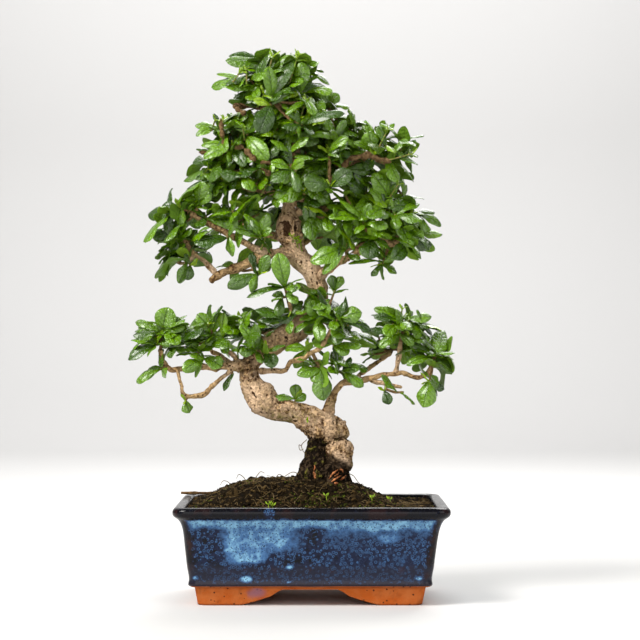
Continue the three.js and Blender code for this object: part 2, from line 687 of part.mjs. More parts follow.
// Seeded draw of numbers from 0 to 1.
function seededDraw(seed) {
  let state = seed;
  return () => {
    state = (state + 0x6d2b79f5) | 0;
    let mixed = Math.imul(state ^ (state >>> 15), 1 | state);
    mixed = (mixed + Math.imul(mixed ^ (mixed >>> 7), 61 | mixed)) ^ mixed;
    return ((mixed ^ (mixed >>> 14)) >>> 0) / 4294967296;
  };
}

// A leaf blade that bends back along an arc: a raised midrib with two thin edges a little below it.
function leafBlade(leaf, grow) {
  const { base, direction, up, length, width, arch } = leaf;
  const across = new THREE.Vector3().crossVectors(direction, up);
  const along = (t) => {
    const spot = base.clone();
    spot.addScaledVector(direction, (length * Math.sin(arch * t)) / arch);
    spot.addScaledVector(up, (-length * (1 - Math.cos(arch * t))) / arch);
    return spot;
  };
  const positions = [...along(0).toArray()];
  for (const [t, share] of LEAF_STATIONS) {
    const middle = along(t);
    const lift = up.clone().multiplyScalar(Math.cos(arch * t));
    lift.addScaledVector(direction, Math.sin(arch * t));
    const half = (share * width) / 2 + grow * 2;
    for (const [high, wide] of [[LEAF_THICKNESS + grow, 0], [-grow, half], [-grow, -half]]) {
      const corner = middle.clone().addScaledVector(lift, high).addScaledVector(across, wide);
      positions.push(...corner.toArray());
    }
  }
  positions.push(...along(1 + grow / length).toArray());
  const triangles = [];
  const rings = LEAF_STATIONS.length;
  const tip = 1 + rings * 3;
  for (let i = 0; i < 3; i += 1) {
    const next = (i + 1) % 3;
    triangles.push(0, 1 + next, 1 + i);
    for (let r = 0; r < rings - 1; r += 1) {
      const low = 1 + r * 3;
      triangles.push(low + i, low + next, low + 3 + next);
      triangles.push(low + i, low + 3 + next, low + 3 + i);
    }
    triangles.push(tip - 3 + i, tip - 3 + next, tip);
  }
  return solidFromTriangles(positions, triangles);
}

// A leaf from its root to a known tip. Its face turns from the sky towards the front.
function leafToTip(root, tip, width, facing) {
  const arch = LEAF_ARCH;
  const chord = new THREE.Vector3().subVectors(vec(tip), root).normalize();
  const base = root.clone().addScaledVector(chord, -LEAF_SINK);
  const span = base.distanceTo(vec(tip));
  const face = new THREE.Vector3(0, -facing, 1 - facing * 0.75);
  face.addScaledVector(chord, -face.dot(chord)).normalize();
  const half = arch / 2;
  const direction = chord.clone().multiplyScalar(Math.cos(half)).addScaledVector(face, Math.sin(half));
  const up = face.clone().multiplyScalar(Math.cos(half)).addScaledVector(chord, -Math.sin(half));
  return { base, direction, up, length: (span * half) / Math.sin(half), width, arch };
}

// A leaf of the rosette: the lower ones are longer and lie more open than the upper ones.
function rosetteLeaf(shoot, order, count, draw) {
  const age = 1 - order / Math.max(1, count);
  const turn = order * GOLDEN_ANGLE + shoot.turn;
  const open = 0.7 + 0.65 * age + 0.25 * (draw() - 0.5);
  const length = (14 + 8 * age) * (0.85 + 0.3 * draw());
  const side = new THREE.Vector3(0, 0, 1).cross(shoot.axis);
  if (side.length() < 0.05) side.set(1, 0, 0);
  side.normalize();
  const front = new THREE.Vector3().crossVectors(shoot.axis, side);
  const radial = side.multiplyScalar(Math.cos(turn)).addScaledVector(front, Math.sin(turn));
  const direction = shoot.axis.clone().multiplyScalar(Math.cos(open));
  direction.addScaledVector(radial, Math.sin(open));
  const up = shoot.axis.clone().addScaledVector(direction, -shoot.axis.dot(direction)).normalize();
  const base = leafRoot(shoot, 0.5 + 2.2 * age).addScaledVector(direction, -LEAF_SINK);
  const width = length * (LEAF_SLIMNESS + 0.08 * (draw() - 0.5));
  return { base, direction, up, length, width, arch: LEAF_ARCH * (0.7 + 0.6 * draw()) };
}

// Twigs of a spray: the first runs from the wood to its shoot, the others fork off its outer part.
function growTwigs(shoots, trunkBox) {
  const main = twigOffWood(vec(shoots[0][0]), trunkBox);
  const outer = new THREE.Line3(main[1], main[2]);
  const twigs = [main];
  for (const [tip] of shoots.slice(1)) {
    const end = vec(tip);
    const along = Math.min(0.8, outer.closestPointToPointParameter(end, true));
    twigs.push([outer.at(Math.max(0.15, along), new THREE.Vector3()), end]);
  }
  return twigs;
}

// A twig to a shoot from the nearest wood: its foot slides out until it just clears the bark.
function twigOffWood(tip, trunkBox) {
  const root = nearestWood(tip);
  const reach = root.distanceTo(tip);
  for (let out = 0.5; out < Math.min(12, reach - 2); out += 0.25) {
    const line = bentLine(root.clone().lerp(tip, out / reach), tip);
    if (crossing(twigSolid(line, 0), [trunkBox]) === 0) return line;
  }
  return bentLine(root, tip);
}

// Three points of a twig that leaves low and lifts towards its end.
function bentLine(start, end) {
  const middle = start.clone().lerp(end, 0.55);
  middle.z -= 0.08 * start.distanceTo(end);
  return [start, middle, end];
}

function twigSolid(points, grow) {
  const radii = points.length === 3 ? TWIG_RADII : FORK_RADII;
  return stem(points, radii.map((radius) => radius + grow), TWIG_SIDES);
}

function shootAxis(points, draw) {
  const [before, tip] = points.slice(-2);
  const axis = new THREE.Vector3().subVectors(tip, before).normalize();
  axis.multiplyScalar(0.7);
  axis.z += 0.6;
  const last = new THREE.Line3(tip, before);
  return { tip, last, axis: axis.normalize(), turn: draw() * 2 * Math.PI };
}

// The spot where a leaf leaves its shoot, the lower leaves further back from the shoot's tip.
function leafRoot(shoot, back) {
  return shoot.last.at(Math.min(0.9, back / shoot.last.distance()), new THREE.Vector3());
}

const MISFIT_SHARE = 0.25;
const NEIGHBOUR_SHARE = 0.01;

function boxesApart(a, b) {
  return [0, 1, 2].some((k) => a.min[k] > b.max[k] || b.min[k] > a.max[k]);
}

// How much of a blade lies inside a set of solids, as a share of the blade.
function crossing(blade, others) {
  const box = blade.boundingBox();
  let shared = 0;
  for (const other of others) {
    if (!boxesApart(box, other.box)) shared += blade.intersect(other.solid).volume();
  }
  return shared / blade.volume();
}

function boxed(solid) {
  return { solid, box: solid.boundingBox() };
}

// Turned or tilted versions of a leaf, tried in order until one lies free of the other sprays.
const DODGES = [[0, 0], [0.35, 0], [-0.35, 0], [0, 0.3], [0, -0.3], [0.7, 0.2], [-0.7, 0.2], [0, 0.6]];

function dodge(leaf, axis, [turn, tilt]) {
  const across = new THREE.Vector3().crossVectors(leaf.direction, leaf.up);
  const direction = leaf.direction.clone().applyAxisAngle(across, tilt).applyAxisAngle(axis, turn);
  const up = leaf.up.clone().applyAxisAngle(across, tilt).applyAxisAngle(axis, turn);
  return { ...leaf, direction, up };
}

function buildSprays(trunkClear) {
  const trunkBox = boxed(trunkClear);
  const sprays = [];
  let seed = 11;
  for (const [name, shoots] of Object.entries(SPRAYS)) {
    const draw = seededDraw(seed);
    seed += 17;
    const twigs = growTwigs(shoots, trunkBox);
    const clear = boxed(wasm.Manifold.union(twigs.map((points) => twigSolid(points, CLEARANCE))));
    let wood = wasm.Manifold.union(twigs.map((points) => twigSolid(points, 0))).subtract(trunkClear);
    for (const other of sprays) {
      if (!boxesApart(clear.box, other.clear.box)) wood = wood.subtract(other.clear.solid);
    }
    sprays.push({ name, shoots, twigs, clear, wood: mainBody(wood), draw, leaves: [] });
  }
  for (const spray of sprays) addLeaves(spray, sprays, trunkBox);
  return sprays;
}

// The leaves of one spray, each free of every other spray's twigs and leaves.
function addLeaves(spray, sprays, trunkBox) {
  const others = sprays.filter((other) => other !== spray);
  const obstacles = others.flatMap((other) => [other.clear, ...other.leaves]);
  const blades = [];
  spray.shoots.forEach(([, count, ...known], i) => {
    const shoot = shootAxis(spray.twigs[i], spray.draw);
    const leaves = known.map(([x, y, z, width, facing], order) => {
      return leafToTip(leafRoot(shoot, 0.5 + 0.7 * order), [x, y, z], width, facing);
    });
    for (let order = 0; order < count; order += 1) {
      leaves.push(rosetteLeaf(shoot, order, count, spray.draw));
    }
    for (const leaf of leaves) {
      for (const change of DODGES) {
        const tried = dodge(leaf, shoot.axis, change);
        const guard = leafBlade(tried, CLEARANCE);
        if (crossing(guard, [trunkBox]) > MISFIT_SHARE) continue;
        if (crossing(guard, obstacles) > 0) continue;
        if (crossing(guard, spray.leaves) > NEIGHBOUR_SHARE) continue;
        blades.push(leafBlade(tried, 0));
        spray.leaves.push(boxed(guard));
        break;
      }
    }
  });
  const joined = wasm.Manifold.union([spray.wood, ...blades]).subtract(trunkBox.solid);
  spray.solid = mainBody(joined);
}

// Fallen twig: it lies across the left side of the rim and on the edge of the soil.
const FALLEN_TWIG = [[-101, 52, 1], [-88, 51, 1], [-76, 49, 0.8]];
const FALLEN_TWIG_REST = POT_HEIGHT + CLEARANCE + 1;

function buildFallenTwig(grow) {
  const points = FALLEN_TWIG.map(([x, y]) => new THREE.Vector3(x, y, FALLEN_TWIG_REST));
  return stem(points, FALLEN_TWIG.map((p) => p[2] + grow), 6);
}

// Assembly

const GLAZE = { color: 0x26364f, roughness: 0.25, metalness: 0 };
const EARTH = { color: 0x2a2219, roughness: 1, metalness: 0 };
const BARK = { color: 0xb29a78, roughness: 0.85, metalness: 0 };
const DEAD_WOOD = { color: 0x5f4632, roughness: 0.9, metalness: 0 };
const FOLIAGE = { color: 0x3f7a22, roughness: 0.35, metalness: 0 };
const SCREEN = { color: 0x2b2b2b, roughness: 0.6, metalness: 0 };

const trunkClear = buildTrunk(CLEARANCE);
const bonsai = new THREE.Group();
bonsai.add(meshFromSolid("pot", buildPot(), GLAZE));
bonsai.add(meshFromSolid("drain_screen_left", buildScreen(-1), SCREEN));
bonsai.add(meshFromSolid("drain_screen_right", buildScreen(1), SCREEN));
bonsai.add(meshFromSolid("soil", buildSoil(trunkClear, buildFallenTwig(CLEARANCE)), EARTH));
bonsai.add(meshFromSolid("trunk", carveScar(buildTrunk(0)), BARK));
bonsai.add(meshFromSolid("fallen_twig", buildFallenTwig(0), DEAD_WOOD));
for (const spray of buildSprays(trunkClear)) {
  bonsai.add(meshFromSolid(`spray_${spray.name}`, spray.solid, FOLIAGE));
}

// The origin is on the table, under the middle of the whole plant's box.
const extent = new THREE.Box3().setFromObject(bonsai);
const middle = extent.getCenter(new THREE.Vector3());
bonsai.position.set(-middle.x, -middle.y, -extent.min.z);

export default bonsai;
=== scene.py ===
"""Fukien tea bonsai in a glazed pot, dressed for close views.

Lengths are millimetres from the middle of the pot's foot on the table, with +X to the right, -Y towards the
viewer and +Z up. They turn into metres of the row frame when a mesh is written.
"""

import itertools
import logging
import math
from dataclasses import dataclass, field
from enum import Enum
from functools import cached_property

import bpy
import numpy as np
from numpy.typing import NDArray
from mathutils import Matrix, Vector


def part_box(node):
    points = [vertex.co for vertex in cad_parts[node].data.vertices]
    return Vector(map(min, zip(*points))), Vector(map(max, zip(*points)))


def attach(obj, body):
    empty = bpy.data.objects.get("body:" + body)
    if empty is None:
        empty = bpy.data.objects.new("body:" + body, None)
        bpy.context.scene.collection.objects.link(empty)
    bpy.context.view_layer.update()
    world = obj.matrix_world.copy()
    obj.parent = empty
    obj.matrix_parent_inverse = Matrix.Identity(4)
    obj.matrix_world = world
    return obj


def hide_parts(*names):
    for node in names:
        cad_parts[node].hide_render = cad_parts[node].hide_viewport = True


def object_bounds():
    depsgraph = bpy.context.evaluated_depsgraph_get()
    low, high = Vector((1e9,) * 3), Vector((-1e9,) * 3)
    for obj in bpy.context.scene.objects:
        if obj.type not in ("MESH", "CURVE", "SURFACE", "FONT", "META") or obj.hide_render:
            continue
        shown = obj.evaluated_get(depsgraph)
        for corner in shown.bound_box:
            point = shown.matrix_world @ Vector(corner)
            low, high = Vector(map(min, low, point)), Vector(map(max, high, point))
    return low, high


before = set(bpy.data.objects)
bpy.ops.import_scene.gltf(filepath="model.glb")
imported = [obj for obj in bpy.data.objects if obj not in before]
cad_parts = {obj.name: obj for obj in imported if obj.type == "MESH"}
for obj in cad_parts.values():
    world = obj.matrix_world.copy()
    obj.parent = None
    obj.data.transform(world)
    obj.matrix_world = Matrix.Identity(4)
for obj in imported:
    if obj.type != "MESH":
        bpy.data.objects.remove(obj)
CAD_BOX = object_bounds()

Array = NDArray[np.float64]
Triple = tuple[float, float, float]
Inputs = dict[str | int, object]
Draw = np.random.Generator
Rows = tuple[tuple[float, ...], ...]
log = logging.getLogger("bonsai")

MILLIMETRE = 0.001
GOLDEN_ANGLE = 2.39996
THICK_LIMB = 2.5
ROOT_SEED, BRANCH_SEED, PAD_SEED = 200, 300, 900
LEAF_ARCH = 0.9
RIM_HEIGHT = 67.0
BODY = "root"
POT_LOW, POT_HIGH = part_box("pot")
POT_MIDDLE = np.array([(POT_LOW.x + POT_HIGH.x) / 2, (POT_LOW.y + POT_HIGH.y) / 2, 0.0])

# Large whole numbers that scramble a lattice corner and a seed into a random-looking number.
SCRAMBLE = np.array([73856093, 19349663, 83492791])
SCRAMBLE_SEED, SCRAMBLE_AGAIN, SCRAMBLE_LAST = 265443576, 1274126177, 668265263
POSITIVE = 0x7FFFFFFF
KEPT = 65536

# Each limb is a list of points x, y, z with the radius there.
LIMBS: dict[str, list[list[float]]] = {
    "trunk": [
        [17, 2, 60, 12], [15, 1, 80, 15.5], [14, 0, 90, 16.5], [17, -1, 100, 14.5], [18.5, -2, 108, 13.2],
        [15.5, -2, 115, 12.2], [11, -2, 121, 12], [6, -3, 127, 11.6], [0, -4, 131, 10.6], [-8, -5, 134, 9.2],
        [-17, -6, 137.5, 7.8], [-28, -6, 139.5, 9.4], [-37.5, -6, 148, 10], [-43.5, -6, 156.5, 8.5],
        [-45.5, -5, 167, 7.4], [-44, -4, 174, 7.8], [-37, -2, 183, 8.8], [-24, 0, 190.5, 9],
        [-12, 2, 198, 8.3], [-1.5, 3, 210, 7.6], [4.3, 4, 222, 7.1], [3.8, 4, 232, 7.2], [-0.6, 3, 243, 7.6],
        [-9.5, 2, 253, 8.2], [-14, 1, 263, 8.8], [-16.3, 0, 275, 8.8], [-17, 0, 284, 6], [-17, 0, 292, 4],
        [-15, 2, 308, 3.8], [-12, 3, 326, 3.5], [-13, 2, 345, 3], [-17, 0, 366, 2.4], [-15, 0, 384, 1.8]
    ],
    "root_column": [[-2, -6, 66, 9], [2, -6, 88, 9.5], [5, -5, 104, 8.4], [8, -4, 118, 7]],
    "root_left": [[2, -6, 104, 6], [-5, -8, 92, 5], [-12, -10, 82, 3]],
    "root_right": [[18, 2, 101, 5.5], [20.5, 2, 90, 4.8], [25, 0, 79, 3.6]],
    "root_front": [[10, -8, 99, 6.5], [14, -18, 87, 4.6], [17, -27, 79, 2.8]],
    "root_back": [[12, 8, 102, 7], [6, 18, 89, 5], [0, 30, 80, 3]],
    "knob_right": [[14, -3, 122, 6], [21, -5, 127, 3.6], [24, -6, 129.5, 1.6]],
    "lower_right": [
        [9, 1, 129, 5], [12, -2, 137, 4.8], [13.6, -4, 144, 3.9], [15.8, -5, 149, 2.5],
        [18.6, -5, 154.5, 2.2], [22.5, -5, 159, 2.4], [29, -6, 160, 2.8], [40, -7, 161.5, 2.3],
        [52, -8, 164.5, 1.9], [62, -9, 166, 1.8], [72, -9, 165, 1.7], [81, -10, 163, 1.6],
        [86, -10, 166, 1.7], [89, -10, 172, 1.5]
    ],
    "lower_right_upright": [[62, -9, 165, 1.7], [64, -9, 177, 1.6], [66, -8, 189, 1.4]],
    "lower_right_twig": [[43, -8, 161, 1.5], [50, -9, 159, 1.2], [58, -10, 157.5, 1.1], [66, -10, 156, 1.1]],
    "lower_middle": [
        [-40, -9, 168, 2], [-27, -13, 168, 1.7], [-19, -15, 169, 1.7], [-16, -16, 175, 1.5],
        [-9, -17, 176, 1.6], [-1, -17, 180, 1.6], [6, -17, 185, 1.5], [12, -17, 194, 1.4], [16, -17, 202, 1.3]
    ],
    "lower_left": [
        [-46, -6, 170, 4.5], [-56, -10, 171.5, 3.4], [-66, -12, 171.5, 2.7], [-83, -14, 170.5, 2],
        [-98, -15, 169, 1.9], [-104, -15, 169, 2], [-109, -15, 175, 1.8], [-112, -15, 183, 1.6]
    ],
    "lower_left_loop": [
        [-57, -10, 171, 1.9], [-66, -15, 163, 1.6], [-73, -17, 157, 1.6], [-80, -18, 151, 1.9],
        [-87, -18, 149.5, 1.5], [-93, -18, 149.5, 1.6], [-97, -17, 159, 1.4], [-99, -16, 168, 1.4]
    ],
    "lower_left_spur": [[-56, -9, 172, 2.2], [-56.5, -8, 179, 1.9], [-63, -8, 184, 1.7], [-71, -8, 191, 1.3]],
    "lower_back": [[-42, -3, 176, 3.6], [-42, 14, 181, 2.6], [-36, 32, 187, 2], [-28, 48, 192, 1.5]],
    "lower_back_left": [[-60, -8, 172, 2.2], [-68, 12, 178, 1.8], [-80, 30, 185, 1.4]],
    "lower_back_right": [[30, -5, 159, 2], [38, 12, 166, 1.7], [50, 30, 174, 1.5], [60, 42, 181, 1.3]],
    "middle_spur": [[-16, -3, 195, 2], [-14, -8, 206, 1.6], [-17, -10, 219, 1.4]],
    "mid_left": [
        [-12, -3, 255, 4.6], [-26, -6, 254.5, 3.6], [-40, -7, 252, 4], [-54, -8, 245, 3.2],
        [-69, -9, 239.5, 2.8], [-74, -9, 235.5, 2.2]
    ],
    "mid_left_end": [[-71, -9, 240, 2], [-81, -9, 250, 1.8], [-89, -9, 256, 1.6], [-95, -9, 266, 1.3]],
    "mid_left_tip": [[-87, -9, 254, 1.4], [-94, -10, 248, 1.3], [-101, -10, 249, 1.2]],
    "mid_left_upper": [
        [-32, -7, 254, 3.2], [-45, -9, 260, 2.8], [-57, -10, 267, 2.4], [-70, -11, 274, 2.3],
        [-84, -11, 281, 1.9], [-91, -11, 285, 1.5]
    ],
    "mid_back_left": [[-14, 4, 264, 3.4], [-28, 20, 269, 2.5], [-44, 36, 275, 1.9], [-56, 50, 281, 1.4]],
    "mid_back": [[-12, 5, 256, 3.2], [-8, 24, 262, 2.3], [-2, 44, 268, 1.7], [2, 58, 274, 1.3]],
    "mid_right": [
        [3, 1, 236, 4], [13, -5, 244, 2.7], [22, -8, 250.5, 2.4], [31, -9, 254, 2.5], [36, -10, 260, 2.3],
        [50, -11, 265.5, 2], [62, -11, 262.5, 1.9], [64, -11, 270, 1.4]
    ],
    "mid_back_right": [[4, 5, 240, 3.2], [18, 20, 248, 2.3], [34, 36, 256, 1.8], [46, 48, 263, 1.4]],
    "crown_low_right": [
        [-16, 0, 285, 3], [2, 2, 288, 2.2], [22, 0, 290, 1.9], [40, -2, 291, 1.7], [54, -4, 289, 1.4]
    ],
    "crown_left": [
        [-15, 1, 297, 3.2], [-36, -1, 302, 2.4], [-54, -3, 307, 2.1], [-65, -4, 319, 1.9], [-66, -4, 336, 1.5]
    ],
    "crown_right": [
        [-16, 0, 292, 3], [-3, -6, 298, 2.1], [12, -8, 306, 2.2], [20, -6, 315, 2.6], [31, -4, 324, 2.5],
        [43, -3, 327, 2.4], [54, -2, 324, 1.9]
    ],
    "crown_front": [[-14, 1, 306, 2.6], [-14, -16, 314, 1.9], [-12, -28, 322, 1.4]],
    "crown_back": [[-13, 3, 312, 2.8], [-8, 20, 318, 2.1], [-4, 38, 326, 1.6], [-2, 50, 334, 1.2]],
    "crown_back_left": [[-14, 2, 304, 2.6], [-32, 18, 310, 2], [-48, 32, 318, 1.5]],
    "crown_back_right": [[-13, 3, 318, 2.4], [8, 18, 324, 1.9], [26, 30, 330, 1.5]],
    "crown_high_left": [[-13, 2, 342, 2.2], [-28, -4, 352, 1.8], [-38, -6, 363, 1.4]],
    "crown_high_right": [[-13, 2, 346, 2.1], [2, -3, 353, 1.7], [13, -3, 361, 1.3]],
    "crown_high_back": [[-14, 2, 350, 2], [-14, 16, 358, 1.6], [-12, 26, 368, 1.3]]
}

